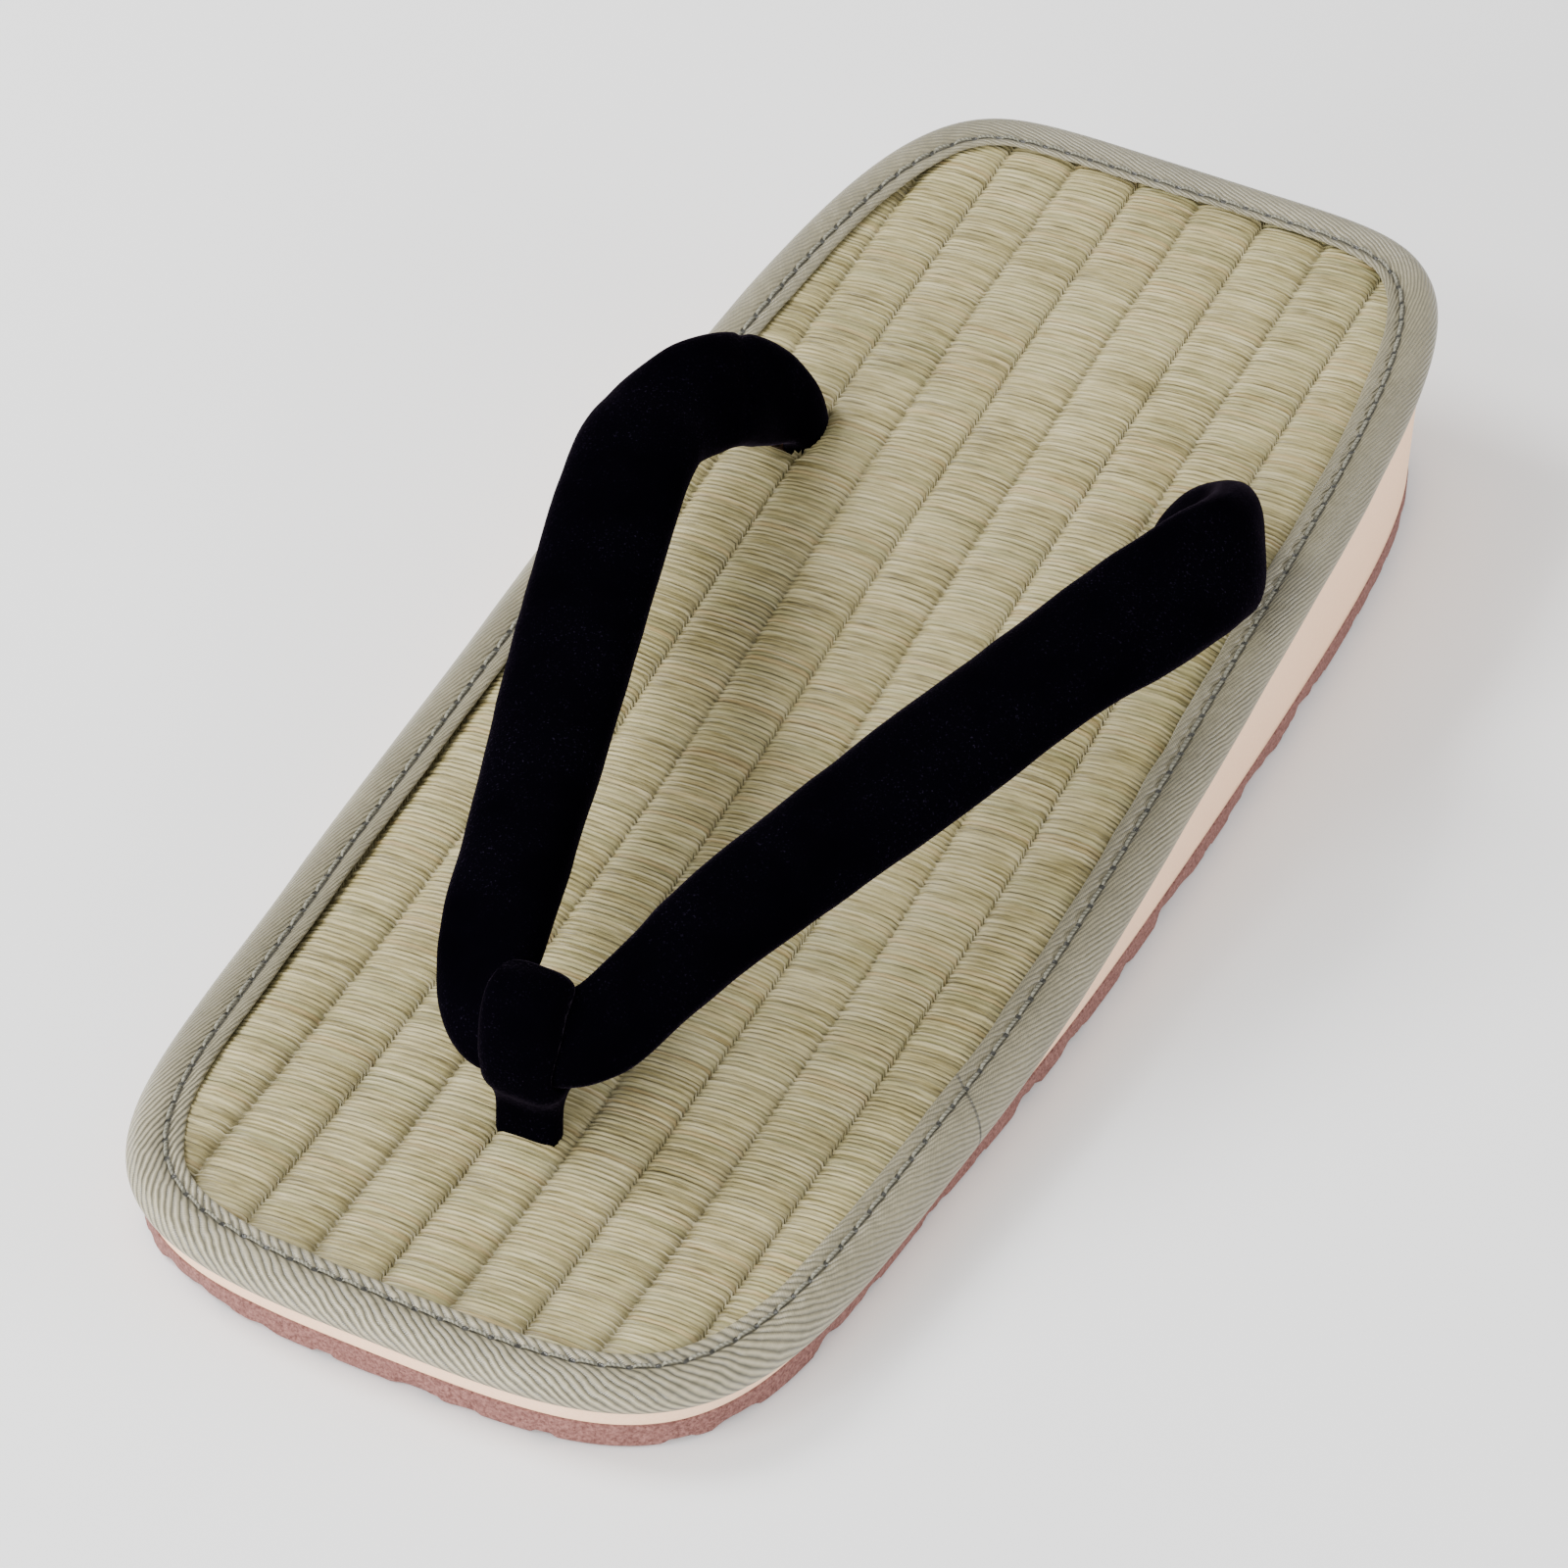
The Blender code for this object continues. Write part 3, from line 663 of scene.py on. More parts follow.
def twill_material():
    """Twill tape: u runs along the edge and v away from the stitch line, both in metres."""
    s = Shader("grey green twill", Specular_IOR_Level=0.85, Sheen_Weight=0.10, Sheen_Roughness=0.4)
    u, v = s.uv()
    around = tape_way()[-1]
    ribs = round(RIB_ALONG * around / RIB_PITCH)
    far, near = TOE_ZONE
    toe = s.add(s.step(u, far, near), s.step(u, around - far, around - near))

    # Ribs, turned across the tape at the toe, with painted light and shade on them that is stronger at the
    # toe
    wander = s.noise(s.place(), 170.0, 3.0)
    across = s.sub(RIB_ACROSS_SIDE / RIB_PITCH, s.mul(toe, (RIB_ACROSS_SIDE - RIB_ACROSS_TOE) / RIB_PITCH))
    turn = s.sub(s.mul(u, ribs / around), s.mul(v, across))
    turn = s.add(turn, s.mul(wander, 1.3))
    wave = s.math("SINE", s.mul(turn, 2 * math.pi))
    rib = s.math("POWER", s.add(s.mul(wave, 0.5), 0.5), 0.6)
    thread = s.math("FLOOR", turn)
    yarn = s.math("SINE", s.mul(s.add(u, v), 2 * math.pi / YARN_PITCH))
    streak = s.noise(s.vector(s.mul(thread, 5.3), s.mul(s.add(u, v), 900.0)), 1.0, 2.0)
    cloud = s.noise(s.vector(s.mul(u, 60.0), s.mul(v, 130.0)), 1.0, 3.0)
    rib_shading = s.add(0.22, s.mul(toe, 0.62))
    tone = s.add(s.mul(s.sub(rib, 0.55), rib_shading), 0.29)
    tone = s.add(tone, s.mul(streak, 0.34))
    tone = s.add(tone, s.mul(s.sub(cloud, 0.5), 0.45))
    tone = s.add(tone, s.mul(yarn, 0.03))
    colour = s.ramp(s.add(tone, 0.14), TWILL_TONES)

    # Painted shade in the stitch holes and along the groove they sit in, and the lap's dark edge
    beat = s.math("FRACT", s.add(s.mul(u, 1 / STITCH_PITCH), 0.5))
    du = s.mul(s.sub(beat, 0.5), STITCH_PITCH)
    gap = s.math("SQRT", s.add(s.mul(du, du), s.mul(s.mul(v, v), 1.3)))
    hole = s.step(gap, *HOLE_FADE)
    line = s.mul(s.step(s.math("ABSOLUTE", v), *LINE_FADE), 0.66)
    colour = s.mix(line, colour, TWILL_GROOVE_SHADE)
    colour = s.mix(s.mul(hole, 0.88), colour, TWILL_HOLE_SHADE)
    lap = s.sub(u, s.add(LAP_PLACE, s.mul(v, LAP_SLANT)))
    fold = s.mul(s.step(s.math("ABSOLUTE", lap), *LAP_FADE), s.step(v, *LAP_END))
    colour = s.mix(s.mul(fold, 0.85), colour, TWILL_LAP)
    height = s.add(rib, s.mul(yarn, 0.10))
    height = s.sub(height, s.mul(hole, 1.2))
    height = s.add(height, s.step(lap, -LAP_STEP, LAP_STEP, 0.0, 1.1))
    rough = s.add(0.24, s.mul(streak, 0.22))
    return s.use(Base_Color=colour, Roughness=rough, Normal=s.bump(height, 0.00018, 0.90))


def thread_material():
    s = Shader("stitch thread", Specular_IOR_Level=0.4)
    u, v = s.uv()
    ply = s.math("SINE", s.mul(s.add(s.mul(u, 1 / PLY_PITCH), v), 2 * math.pi))
    tone = s.noise(s.vector(s.mul(u, 900.0), v), 1.0, 2.0)
    colour = s.mix(s.add(s.mul(ply, 0.25), s.mul(tone, 0.7)), THREAD_DARK, THREAD_PALE)
    return s.use(Base_Color=colour, Roughness=0.55, Normal=s.bump(ply, 0.00008, 0.8))


def velvet_material(name):
    s = Shader(name, Specular_IOR_Level=0.0, Sheen_Weight=0.070, Sheen_Roughness=0.24)
    s.principled.inputs["Sheen Tint"].default_value = VELVET_SHEEN
    spot = s.noise(s.place(), 2600.0, 2.0, 0.6)
    patch = s.noise(s.place(), 70.0, 3.0, 0.6)
    fleck = s.mul(s.step(spot, 0.60, 0.76), s.step(patch, 0.38, 0.68))
    colour = s.mix(patch, VELVET_DARK, VELVET_PALE)
    colour = s.mix(s.mul(fleck, 0.7), colour, VELVET_FLECK)
    height = s.add(spot, s.mul(patch, 1.5))
    return s.use(Base_Color=colour, Roughness=0.97, Normal=s.bump(height, 0.00018, 0.8))


def foam_material():
    s = Shader("beige foam", Specular_IOR_Level=0.25)
    grain = s.noise(s.place(), 2400.0, 2.0, 0.6)
    cloud = s.noise(s.place(), 60.0, 2.0)
    colour = s.mix(grain, FOAM_DARK, FOAM_PALE)
    colour = s.mix(s.mul(cloud, 0.25), colour, FOAM_CLOUD)
    return s.use(Base_Color=colour, Roughness=0.82, Normal=s.bump(grain, 0.00008, 0.5))


def rubber_material():
    s = Shader("mauve rubber", Specular_IOR_Level=0.3)
    grain = s.step(s.noise(s.place(), 1900.0, 2.0, 0.70), 0.26, 0.74)
    fine = s.noise(s.place(), 5200.0, 1.0)
    cloud = s.noise(s.place(), 90.0, 3.0)
    colour = s.mix(grain, RUBBER_DARK, RUBBER_PALE)
    colour = s.mix(s.mul(s.step(fine, 0.60, 0.78), 0.35), colour, RUBBER_FLECK)
    colour = s.mix(s.mul(cloud, 0.12), colour, RUBBER_CLOUD)
    return s.use(Base_Color=colour, Roughness=0.85, Normal=s.bump(grain, 0.00012, 0.7))


def floor_material():
    s = Shader("pale floor")
    cloud = s.noise(s.place(), 3.0, 2.0)
    tone = tuple(0.985 * c for c in FLOOR_COLOUR)
    return s.use(Base_Color=s.mix(cloud, tone, FLOOR_COLOUR), Roughness=0.9)


# Pieces


def arm_rows(table):
    """Centre, width, thickness and direction of each section, in metres."""
    rows = np.array(table)
    y = TOE_HOLE_Y + rows[:, 0] * (REAR_HOLE_Y - TOE_HOLE_Y)
    x = rows[:, 1] * REAR_HOLE_X
    z = rim_height(y) + rows[:, 2] * STRAP_RISE
    return np.column_stack([x, y, z, rows[:, 3] * STRAP_WIDTH, rows[:, 4] * STRAP_THICK, rows[:, 5:]])


def strap_grid(steps, sides, extra=0.0):
    """Sections along both arms, with the way along and the centre of each."""
    right = arm_rows((APEX_ROW, *RIGHT_ROWS))
    left = arm_rows(LEFT_ROWS)[::-1] * (-1, 1, 1, 1, 1, -1, 1, 1)
    coarse = catmull(np.vstack([left, right]), 2)
    half = catmull(np.vstack([left, right]), 4)[1::2]
    rows = np.vstack([coarse[0], half, coarse[-1]])
    rows = catmull(rows, steps)
    centre = rows[:, :3]
    run = np.gradient(centre, axis=0)
    run /= np.linalg.norm(run, axis=1)[:, None]
    outward_way = rows[:, 5:] - run * np.sum(rows[:, 5:] * run, axis=1)[:, None]
    outward_way /= np.linalg.norm(outward_way, axis=1)[:, None]
    face = np.cross(run, outward_way)
    angle = np.arange(sides) * 2 * math.pi / sides
    wave = np.column_stack([np.cos(angle), np.sin(angle)])
    shape = np.sign(wave) * np.abs(wave) ** (2 / STRAP_ROUNDING)
    reach = shape[None, :, 0, None] * (rows[:, None, 3, None] / 2 + extra) * outward_way[:, None]
    depth = shape[None, :, 1, None] * (rows[:, None, 4, None] / 2 + extra) * face[:, None]
    way = np.concatenate([[0], np.cumsum(np.linalg.norm(np.diff(centre, axis=0), axis=1))])
    return centre[:, None] + reach + depth, way, centre


def tube_uv(way, sides, around):
    uv = np.zeros((len(way), sides + 1, 2))
    uv[..., 0] = way[:, None]
    uv[..., 1] = np.linspace(0, around, sides + 1)[None]
    return uv


def grid_normals(points):
    """Normals of a tube of points that closes around its sections."""
    down = np.gradient(points, axis=0)
    wrapped = np.concatenate([points[:, -1:], points, points[:, :1]], axis=1)
    across = (wrapped[:, 2:] - wrapped[:, :-2]) / 2
    normal = np.cross(across, down)
    length = np.linalg.norm(normal, axis=2, keepdims=True)
    return normal / np.maximum(length, 1e-12)


def make_straps(material):
    points, way, centre = strap_grid(6, STRAP_SIDES)
    normal = grid_normals(points)
    middle = points.mean(axis=1, keepdims=True)
    normal *= np.sign(np.sum(normal * (points - middle), axis=2).mean())
    (coarse, coarse_size), (fine, fine_size) = PADDING_COARSE, PADDING_FINE
    lump = coarse * soft_noise(points, coarse_size, 3) + fine * soft_noise(points, fine_size, 4)
    fold_y = TOE_HOLE_Y + FOLD_ALONG * (REAR_HOLE_Y - TOE_HOLE_Y)
    left = slice(0, len(way) // 2)
    fold_at = way[left][np.argmin(np.abs(centre[left, 1] - fold_y))]
    round_way = np.arange(STRAP_SIDES) * 2 * math.pi / STRAP_SIDES
    slant = FOLD_SLANT * np.cos(round_way)[None, :]
    from_fold = way[:, None] - fold_at - slant
    lump -= FOLD_DEPTH * bell(from_fold, FOLD_WIDTH) * smooth_step(-0.2, 0.3, normal[..., 2])
    points = points + normal * (lump - PADDING_SINK)[..., None]
    uv = tube_uv(way, STRAP_SIDES, 0.05)
    piece = grid_piece("velvet_straps", points, uv, material, close_cols=True, caps=True)
    outward(piece)
    return piece, points


def loop_grid(foot, steps, sides):
    """Rings of the toe loop from its foot, at a height in metres, to its top."""
    height = APEX_ROW[2] * STRAP_RISE
    mat = float(rim_height(TOE_HOLE_Y))
    rows = catmull(LOOP_ROWS, steps)
    rows = np.vstack([((foot - mat) / height, *LOOP_ROWS[0][1:]), rows])
    wrapped = APEX_ROW[4] * STRAP_THICK + 2 * (LOOP_WALL + CLEARANCE)
    angle = np.arange(sides) * 2 * math.pi / sides
    wave = np.column_stack([np.cos(angle), np.sin(angle)])
    shape = np.sign(wave) * np.abs(wave) ** (2 / LOOP_ROUNDING) / 2
    wide = rows[:, 1] * LOOP_WIDTH
    deep = STEM_DEPTH + rows[:, 2] * (wrapped - STEM_DEPTH)
    points = np.zeros((len(rows), sides, 3))
    points[..., 0] = shape[None, :, 0] * wide[:, None]
    points[..., 1] = shape[None, :, 1] * deep[:, None] + TOE_HOLE_Y
    points[..., 2] = (mat + rows[:, 0] * height)[:, None]
    return points


def cut(target, cutter):
    """Take the cutter out of the target, and delete it."""
    modifier = target.modifiers.new("cut", "BOOLEAN")
    modifier.operation = "DIFFERENCE"
    modifier.object = cutter
    graph = bpy.context.evaluated_depsgraph_get()
    mesh = bpy.data.meshes.new_from_object(target.evaluated_get(graph))
    target.modifiers.clear()
    target.data = mesh
    bpy.data.objects.remove(cutter, do_unlink=True)


def make_loop(material):
    points = loop_grid(OUTSOLE_THICK + 2 * CLEARANCE, 6, LOOP_SIDES)
    uv = tube_uv(points[:, 0, 2], LOOP_SIDES, 0.04)
    loop = grid_piece("velvet_toe_loop", points, uv, material, close_cols=True, caps=True)
    outward(loop)
    room, way, _ = strap_grid(3, CUTTER_SIDES, CLEARANCE)
    uv = tube_uv(way, CUTTER_SIDES, 0.05)
    cutter = grid_piece("strap_room", room, uv, None, close_cols=True, caps=True)
    outward(cutter)
    cut(loop, cutter)
    loop.data.shade_smooth()
    return loop


def stitch_inset(y_normal):
    """Inset of the stitch line from the rim, by how far the rim faces the heel (plus) or the toe (minus)."""
    heel, toe = np.clip(y_normal, 0, None), np.clip(-y_normal, 0, None)
    return STITCH_INSET + STITCH_INSET_HEEL * heel**2 + STITCH_INSET_TOE * toe**2


def outline_frame(inset, count=OUTLINE_COUNT):
    """An outline with its normals and the length along it."""
    line = outline(inset, 0.0, count)
    run = np.roll(line, -1, axis=0) - np.roll(line, 1, axis=0)
    run /= np.linalg.norm(run, axis=1)[:, None]
    normal = np.column_stack([run[:, 1], -run[:, 0]])
    step = np.linalg.norm(np.roll(line, -1, axis=0) - line, axis=1)
    way = np.concatenate([[0], np.cumsum(step)])
    return line, normal, way


def tape_way():
    """Lengths along the tape, eased so that a whole number of stitches goes round."""
    _, _, way = outline_frame(OUTER_RING)
    return way * round(way[-1] / STITCH_PITCH) * STITCH_PITCH / way[-1]


def make_binding(material):
    face = catmull(BINDING_ROWS, TAPE_STEPS) * (BINDING_WIDTH, BINDING_HEIGHT)
    run = np.gradient(face, axis=0)
    side = np.column_stack([-run[:, 1], run[:, 0]])
    side /= np.linalg.norm(side, axis=1)[:, None]
    inner = face - side * BINDING_WALL * TAPE_INNER_SHARE
    profile = np.vstack([face, inner[::-2]])
    _, normal, _ = outline_frame(0.0)
    way = tape_way()
    points = np.zeros((OUTLINE_COUNT, len(profile), 3))
    for k, (inset, drop) in enumerate(profile):
        ring = outline(inset)
        points[:, k, :2] = ring
        points[:, k, 2] = rim_height(ring[:, 1]) - drop
    travel = np.concatenate([[0], np.cumsum(np.linalg.norm(np.diff(profile, axis=0), axis=1))])
    near = slice(0, STITCH_PROFILE_ROWS)
    stitch_at = np.interp(-stitch_inset(normal[:, 1]), -face[near, 0], travel[near])
    v = travel[None, :] - stitch_at[:, None]
    u = np.repeat(way[:-1, None], len(profile), axis=1)
    (outer_pucker, outer_reach), (inner_pucker, inner_reach) = PUCKER_OUTER, PUCKER_INNER
    beat = np.cos(2 * math.pi * u / STITCH_PITCH)
    pucker = outer_pucker * bell(v - PUCKER_PLACE, outer_reach)
    pucker += inner_pucker * bell(v + PUCKER_PLACE, inner_reach)
    wave = TAPE_WAVE * soft_noise(np.stack([u, v], axis=-1), TAPE_WAVE_SIZE, 8)
    lift = wave - GROOVE_SINK * bell(v, GROOVE_REACH) - pucker * beat
    lift[:, len(face) :] = 0.0
    vector = np.gradient(profile, axis=0)
    out = np.column_stack([-vector[:, 1], -vector[:, 0]])
    out /= np.linalg.norm(out, axis=1)[:, None]
    hem = bell(travel, HEM_REACH)
    sway = HEM_SWAY * soft_noise(way[:-1, None], HEM_SWAY_SIZE, 9)[:, None] * hem[None, :]
    points[..., :2] += (lift * out[None, :, 0] + sway)[..., None] * normal[:, None]
    points[..., 2] += lift * out[None, :, 1]
    uv = np.zeros((OUTLINE_COUNT + 1, len(profile) + 1, 2))
    v_all = np.column_stack([v, v[:, :1] + travel[-1]])
    uv[:-1, :, 1] = v_all
    uv[-1, :, 1] = v_all[0]
    uv[..., 0] = way[:, None]
    piece = grid_piece("twill_binding", points, uv, material, close_rows=True, close_cols=True)
    outward(piece)
    return piece


def stitch_track():
    """The stitch line as (x, y) with its normal and length along, matched to the binding's own beat."""
    _, normal, _ = outline_frame(0.0)
    low, high = outline(OUTER_RING), outline(INNER_RING)
    inset = stitch_inset(normal[:, 1])
    share = ((inset - OUTER_RING) / (INNER_RING - OUTER_RING))[:, None]
    line = low + (high - low) * share
    return line, normal, tape_way()


def make_stitches(material):
    line, normal, way = stitch_track()
    closed = np.vstack([line, line[0]])
    normals = np.vstack([normal, normal[0]])
    stitches = round(way[-1] / STITCH_PITCH)
    steps, sides = len(STITCH_ROWS), THREAD_SIDES
    share, rise, girth = np.array(STITCH_ROWS).T
    points, faces, texture = [], [], []
    angle = np.arange(sides) * 2 * math.pi / sides
    for k in range(stitches):
        seed = hash_noise(np.array([[k, 1], [k, 2], [k, 3]]), 12)
        at = (k + share) * STITCH_PITCH
        x, y = (np.interp(at, way, closed[:, c]) for c in range(2))
        nx, ny = (np.interp(at, way, normals[:, c]) for c in range(2))
        slant = (share - 0.5) * THREAD_SLANT * (1 + seed[0])
        base = rim_height(y) + THREAD_LIFT
        first = len(points)
        for i in range(steps):
            across = np.array([nx[i], ny[i], 0.0])
            level = base[i] + rise[i] * MM + THREAD_UNEVEN * seed[1]
            middle = np.array([x[i], y[i], level]) + across * slant[i]
            for a in angle:
                wide = math.cos(a) * THREAD_HALF_WIDTH * girth[i]
                tall = math.sin(a) * THREAD_HALF_HEIGHT * girth[i]
                points.append(middle + across * wide + np.array([0, 0, tall]))
        for i in range(steps - 1):
            for j in range(sides):
                corners = ((i, j), (i, j + 1), (i + 1, j + 1), (i + 1, j))
                faces.append(tuple(first + a * sides + b % sides for a, b in corners))
                texture += [(at[a], b / sides) for a, b in corners]
        faces.append(tuple(first + j for j in range(sides))[::-1])
        faces.append(tuple(first + (steps - 1) * sides + j for j in range(sides)))
        texture += [(0, 0)] * (2 * sides)
    piece = finish_mesh("stitches", np.array(points), faces, np.array(texture), material)
    outward(piece)
    return piece


def hull_distance(xy, hull):
    """Distance outside a convex outline, negative inside, for many points."""
    far = np.full(xy.shape[:-1], -1e9)
    for a, b in zip(hull, np.roll(hull, -1, axis=0)):
        way = (b - a) / np.linalg.norm(b - a)
        normal = np.array([way[1], -way[0]])
        far = np.maximum(far, (xy - a) @ normal)
    return far


def footprint(points):
    """The convex outline of some points, counterclockwise."""
    flat = [Vector(p) for p in points]
    order = convex_hull_2d(flat)
    hull = np.array([points[k] for k in order])
    area = np.sum(hull[:, 0] * np.roll(hull[:, 1], -1) - np.roll(hull[:, 0], -1) * hull[:, 1])
    return hull if area > 0 else hull[::-1]


def inside_depth(xy):
    """How far points lie inside the outline, from its inset rings."""
    line, normal, _ = outline_frame(0.0, DEPTH_COUNT)
    flat = xy.reshape(-1, 2)
    depth = []
    for part in np.array_split(flat, 8):
        gap = part[:, None] - line[None]
        reach = -np.einsum("ijk,jk->ij", gap, normal)
        span = np.linalg.norm(gap, axis=2)
        near = np.argmin(span, axis=1)
        depth.append(reach[np.arange(len(part)), near])
    return np.concatenate(depth).reshape(xy.shape[:-1])


def make_mat(material, strap_points, loop_points):
    """Rows of strands over the ridges, left out under the tape and where the straps and loop go down."""
    ridges = np.arange(FIRST_RIDGE, LAST_RIDGE + 1)
    column = (ridges[:, None] + np.array(STRAND_COLUMNS)[None]).ravel()
    column = np.append(column, LAST_RIDGE + 1.0)
    strands = int(LENGTH / STRAND_PITCH)
    row = (np.arange(strands)[:, None] + np.array(STRAND_ROWS)[None]).ravel()
    ridge = np.floor(column + TINY)
    strand = np.floor(row + TINY)
    v, u = np.meshgrid(row, column, indexing="ij")
    s, r = np.meshgrid(strand, ridge, indexing="ij")
    f, p = v - s, u - r
    cell = np.stack([s, r], axis=-1)
    drift = soft_noise(np.stack([r * 17.3, v], axis=-1), 9.0, 21)
    shift = 0.5 * (r % 2) + STRAND_DRIFT * drift
    bow = STRAND_BOW * (2 * p - 1) ** 2 * np.sign(p - 0.5) + STRAND_SLANT * (p - 0.5)
    jitter = STRAND_JITTER * (hash_noise(cell, 5) - 0.5) * (f > 0)
    y = (v + shift + jitter + bow - strands / 2) * STRAND_PITCH
    x = (u - 0.5) * RIDGE_PITCH + MAT_SHIFT - math.tan(MAT_TURN) * y
    side = np.abs(2 * p - 1)
    own = hash_noise(cell, 6)
    common = hash_noise(cell * (1, 0), 7)
    crown = RIDGE_DEPTH * (0.68 * side**2 + 0.32 * side**6)
    round_top = np.sqrt(np.clip(1 - (2 * f - 1) ** 2, 0, 1))
    under = np.where((s + r) % 2 == 0, 1.0, 0.25)
    z = rim_height(y) - crown - (STRAND_DEPTH + STRAND_DEPTH_SPREAD * common) * (1 - round_top)
    z += STRAND_RISE_SPREAD * (own - 0.7)
    z -= STRAND_TUCK * under * smooth_step(0.82, 1.0, side)
    xy = np.stack([x, y], axis=-1)
    z += MAT_WAVE * soft_noise(xy, MAT_WAVE_SIZE, 31)
    inside = inside_depth(xy)
    z -= TAPE_DIP * bell(np.clip(inside - BINDING_WIDTH, 0, None), TAPE_DIP_REACH)
    far = np.full(x.shape, 1.0)
    near_mat = np.abs(strap_points[..., 2] - rim_height(strap_points[..., 1])) < STRAP_NEAR_MAT
    for sign in (-1, 1):
        chosen = strap_points[near_mat & (strap_points[..., 0] * sign > 0) & (strap_points[..., 1] > 0.04)]
        far = np.minimum(far, hull_distance(xy, footprint(chosen[:, :2])))
    z -= HOLE_DIP * bell(np.clip(far, 0, None), HOLE_DIP_REACH)
    stem = loop_points[1, :, :2]
    far = np.minimum(far, hull_distance(xy, footprint(stem)))
    middle_in = (inside[:-1, :-1] + inside[1:, 1:]) / 2
    middle_far = (far[:-1, :-1] + far[1:, 1:]) / 2
    keep = (middle_in > MAT_UNDER_TAPE) & (middle_far > -MAT_UNDER_STRAP)
    uv = np.stack([u + 20, v + 3], axis=-1)
    points = np.stack([x, y, z], axis=-1)
    piece = grid_piece("rush_strands", points, uv, material, keep=keep)
    clean_loose(piece)
    return piece


def make_midsole(material):
    low = outline(OUTSOLE_INSET + SOLE_EDGE, WAIST_DEPTH)
    high = outline(MIDSOLE_TOP_INSET)
    floor = OUTSOLE_THICK + FOAM_GAP
    rings = []
    for share in np.arange(FOAM_LEVELS) / (FOAM_LEVELS - 1):
        ring = low + (high - low) * share
        top = rim_height(ring[:, 1]) - BINDING_HEIGHT - CLEARANCE
        rings.append(np.column_stack([ring, floor + (top - floor) * share]))
    points = np.stack(rings, axis=0)
    points[..., :2] *= 1 + FOAM_WAVE * soft_noise(points, 0.02, 41)[..., None]
    uv = np.zeros((FOAM_LEVELS, OUTLINE_COUNT + 1, 2))
    piece = grid_piece("foam_wedge", points, uv, material, close_cols=True, caps=True)
    outward(piece)
    return piece


def groove(middle, along_x):
    """Corners of one long cutter that is wider at its mouth and reaches below the floor."""
    wide, narrow, depth = GROOVE_MOUTH - GROOVE_FLOOR / 2, GROOVE_FLOOR / 2, GROOVE_DEPTH
    profile = ((-wide, -depth), (wide, -depth), (narrow, depth), (-narrow, depth))
    points = []
    for end in (-LENGTH, LENGTH):
        for across, z in profile:
            points.append((end, middle + across, z) if along_x else (middle + across, end, z))
    return points


def groove_cutter(name, pitch, reach, along_x):
    points, faces = [], []
    count = int(reach / pitch)
    for k in range(-count, count):
        base = len(points)
        points += groove((k + 0.5) * pitch, along_x)
        faces += [(base, base + 1, base + 2, base + 3), (base + 4, base + 5, base + 6, base + 7)]
        faces += [(base + j, base + (j + 1) % 4, base + 4 + (j + 1) % 4, base + 4 + j) for j in range(4)]
    cutter = finish_mesh(name, np.array(points), faces, None, None, smooth=False)
    outward(cutter)
    return cutter


def make_outsole(material):
    heights = [
        (OUTSOLE_INSET + OUTSOLE_CHAMFER, 0.0),
        (OUTSOLE_INSET + 0.35 * OUTSOLE_CHAMFER, 0.35 * OUTSOLE_CHAMFER),
        (OUTSOLE_INSET, OUTSOLE_CHAMFER),
        (OUTSOLE_INSET, 0.5 * OUTSOLE_THICK),
        (OUTSOLE_INSET, OUTSOLE_THICK - SOLE_EDGE),
        (OUTSOLE_INSET + SOLE_EDGE, OUTSOLE_THICK),
    ]
    rings = []
    for inset, z in heights:
        ring = outline(inset, WAIST_DEPTH)
        low = np.clip(1 - z / (WEAR_SHARE * OUTSOLE_THICK), 0, 1)
        bite = np.clip(soft_noise(ring, 0.0064, 51) + 0.35 * soft_noise(ring, 0.0021, 52) - 0.05, 0, None)
        toward = ring / np.linalg.norm(ring, axis=1)[:, None]
        ring = ring - toward * (EDGE_WEAR * low * bite)[:, None]
        rings.append(np.column_stack([ring, z + EDGE_WEAR * 0.8 * low * bite * (z > 0)]))
    points = np.stack(rings, axis=0)
    uv = np.zeros((len(heights), OUTLINE_COUNT + 1, 2))
    piece = grid_piece("rubber_sole", points, uv, material, close_cols=True, caps=True)
    outward(piece)
    cut(piece, groove_cutter("cross_grooves", LUG_LENGTH, LENGTH / 2, True))
    cut(piece, groove_cutter("long_grooves", LUG_WIDTH, HALF_WIDTH, False))
    piece.data.shade_smooth()
    piece.data.set_sharp_from_angle(angle=SHARP_ANGLE)
    return piece


# Light and camera


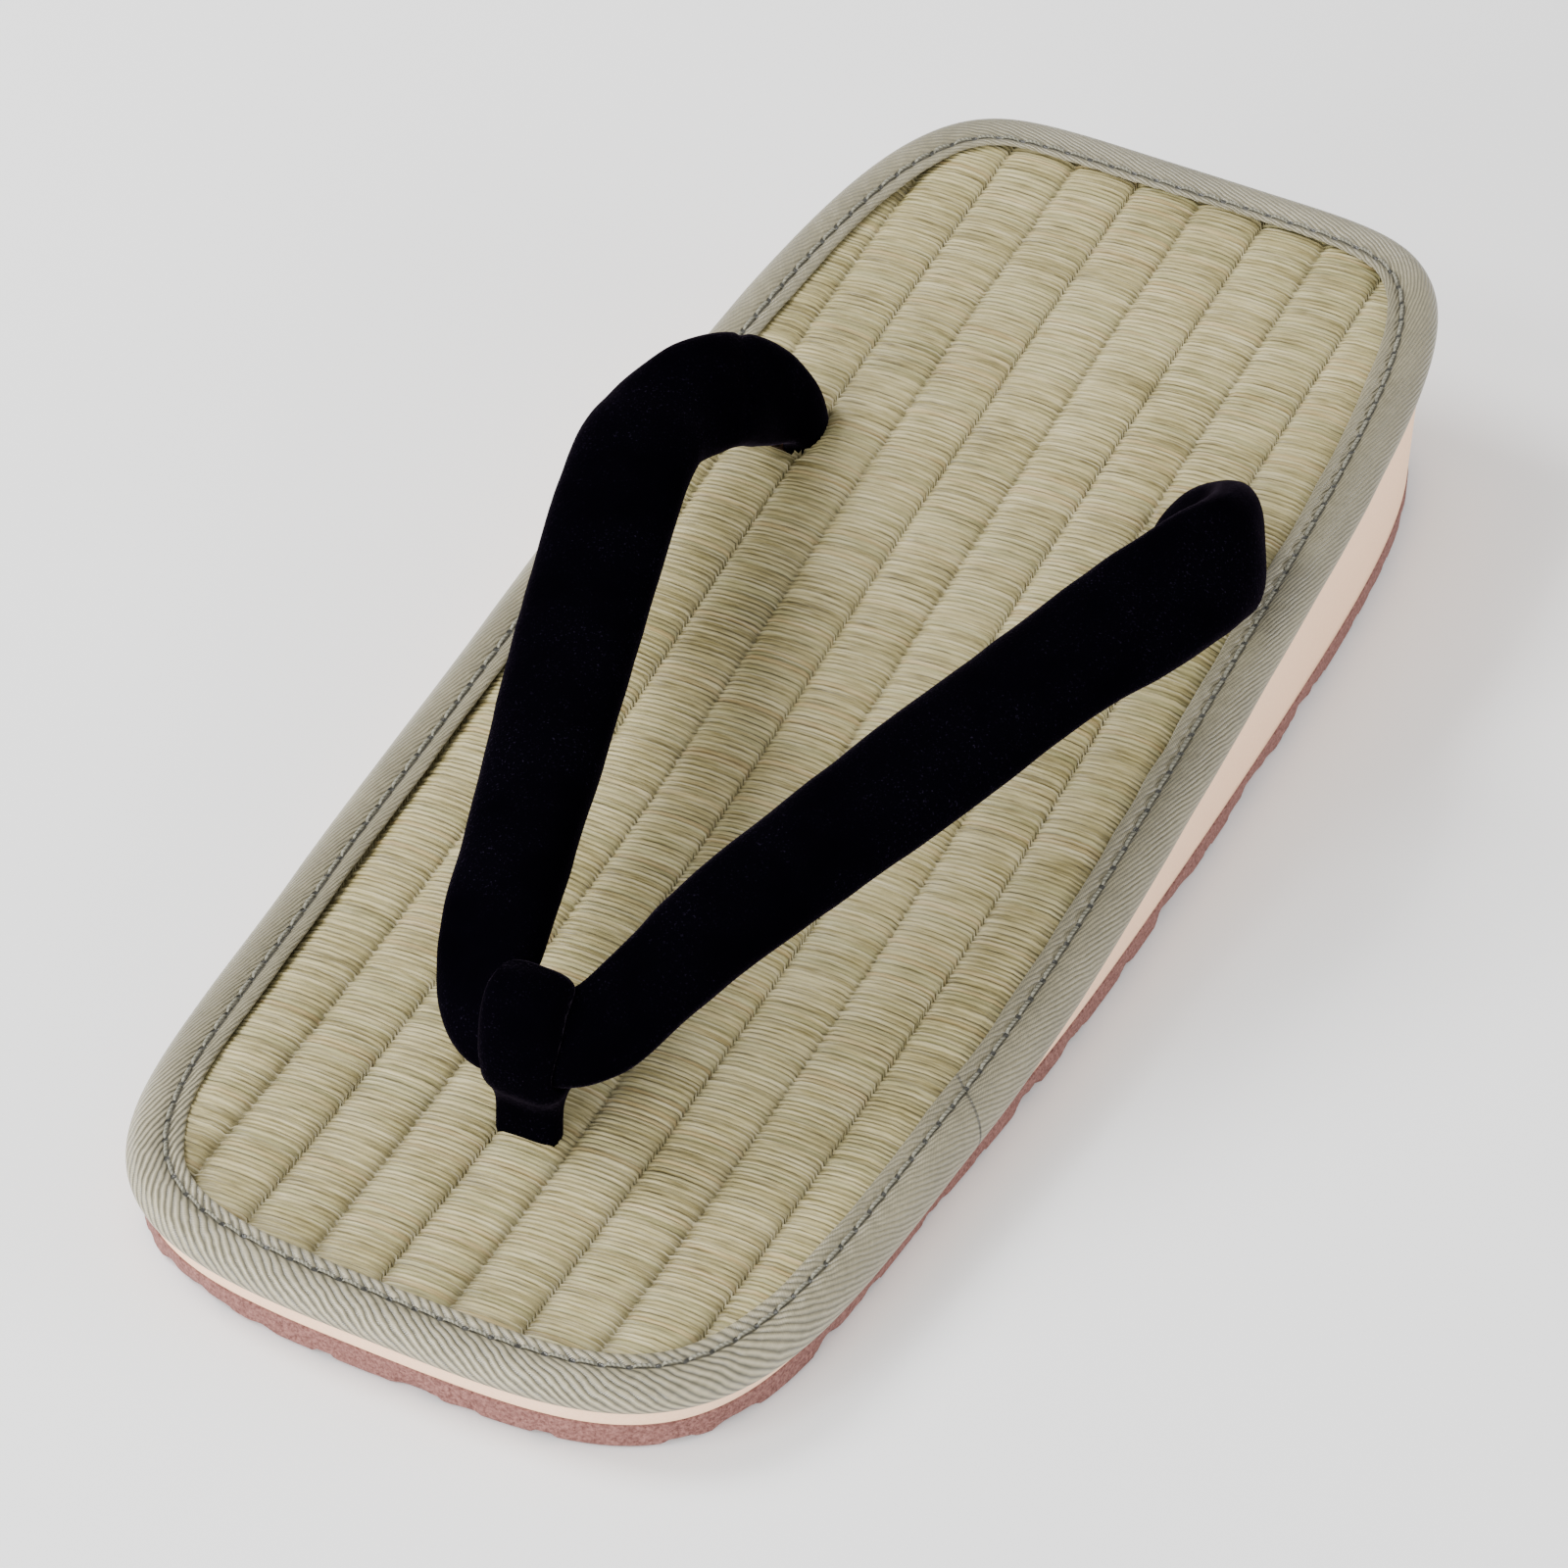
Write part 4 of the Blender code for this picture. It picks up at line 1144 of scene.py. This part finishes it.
def make_camera():
    """The photo's viewpoint, turned and zoomed to frame this one sandal."""
    azimuth, elevation, roll = (math.radians(a) for a in CAMERA_ANGLES)
    level = math.cos(elevation)
    back = Vector((math.sin(azimuth) * level, -math.cos(azimuth) * level, math.sin(elevation)))
    right = Vector((math.cos(azimuth), math.sin(azimuth), 0.0))
    up = back.cross(right)
    right, up = right * math.cos(roll) + up * math.sin(roll), up * math.cos(roll) - right * math.sin(roll)
    place = Vector(CAMERA_CENTRE) + back * CAMERA_DISTANCE + right * CAMERA_RIGHT + up * CAMERA_UP
    aim = (right * AIM_RIGHT - up * AIM_DOWN) / (PHOTO_PIXELS * PHOTO_FOCAL) - back
    back = -aim.normalized()
    right = (right - back * right.dot(back)).normalized()
    up = back.cross(right)
    data = bpy.data.cameras.new("camera")
    data.sensor_fit = "HORIZONTAL"
    data.sensor_width = SENSOR_WIDTH
    data.lens = ZOOM * PHOTO_FOCAL * SENSOR_WIDTH
    data.clip_start = 0.05
    data.clip_end = 50.0
    camera = bpy.data.objects.new("camera", data)
    bpy.context.scene.collection.objects.link(camera)
    turn = Matrix((right, up, back)).transposed().to_4x4()
    camera.matrix_world = Matrix.Translation(place) @ turn
    bpy.context.scene.camera = camera


def area_light(name, place, aim, size, power):
    data = bpy.data.lights.new(name, "AREA")
    data.shape = "RECTANGLE"
    data.size, data.size_y = size
    data.energy = power
    light = bpy.data.objects.new(name, data)
    bpy.context.scene.collection.objects.link(light)
    way = Vector(aim) - Vector(place)
    turn = way.to_track_quat("-Z", "Y").to_matrix().to_4x4()
    light.matrix_world = Matrix.Translation(Vector(place)) @ turn


def make_stage():
    mesh = bpy.data.meshes.new("floor")
    corners = [(x * FLOOR_HALF, y * FLOOR_HALF, 0) for x, y in ((-1, -1), (1, -1), (1, 1), (-1, 1))]
    mesh.from_pydata(corners, [], [(0, 1, 2, 3)])
    floor = bpy.data.objects.new("floor", mesh)
    floor.location.z = -FLOOR_DROP
    mesh.materials.append(floor_material())
    bpy.context.scene.collection.objects.link(floor)
    world = bpy.data.worlds.new("studio")
    world.use_nodes = True
    background = world.node_tree.nodes["Background"]
    background.inputs[0].default_value = (1.0, 1.0, 1.0, 1.0)
    background.inputs[1].default_value = WORLD_STRENGTH
    bpy.context.scene.world = world
    for light in LIGHTS:
        area_light(*light)


def main():
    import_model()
    make_camera()
    make_stage()

    straps, strap_points = make_straps(velvet_material("black velvet"))
    loop = make_loop(velvet_material("black velvet loop"))
    mat = make_mat(rush_material(), strap_points, loop_grid(0.0, 2, CUTTER_SIDES))
    binding = make_binding(twill_material())
    stitches = make_stitches(thread_material())
    wedge = make_midsole(foam_material())
    sole = make_outsole(rubber_material())

    pairs = (
        (straps, "thong_straps"),
        (loop, "toe_loop"),
        (mat, "rush_mat"),
        (binding, "edge_binding"),
        (wedge, "midsole"),
        (sole, "outsole"),
    )
    for piece, node in pairs:
        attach(piece, "root")
        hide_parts(node)
    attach(stitches, "root")


main()
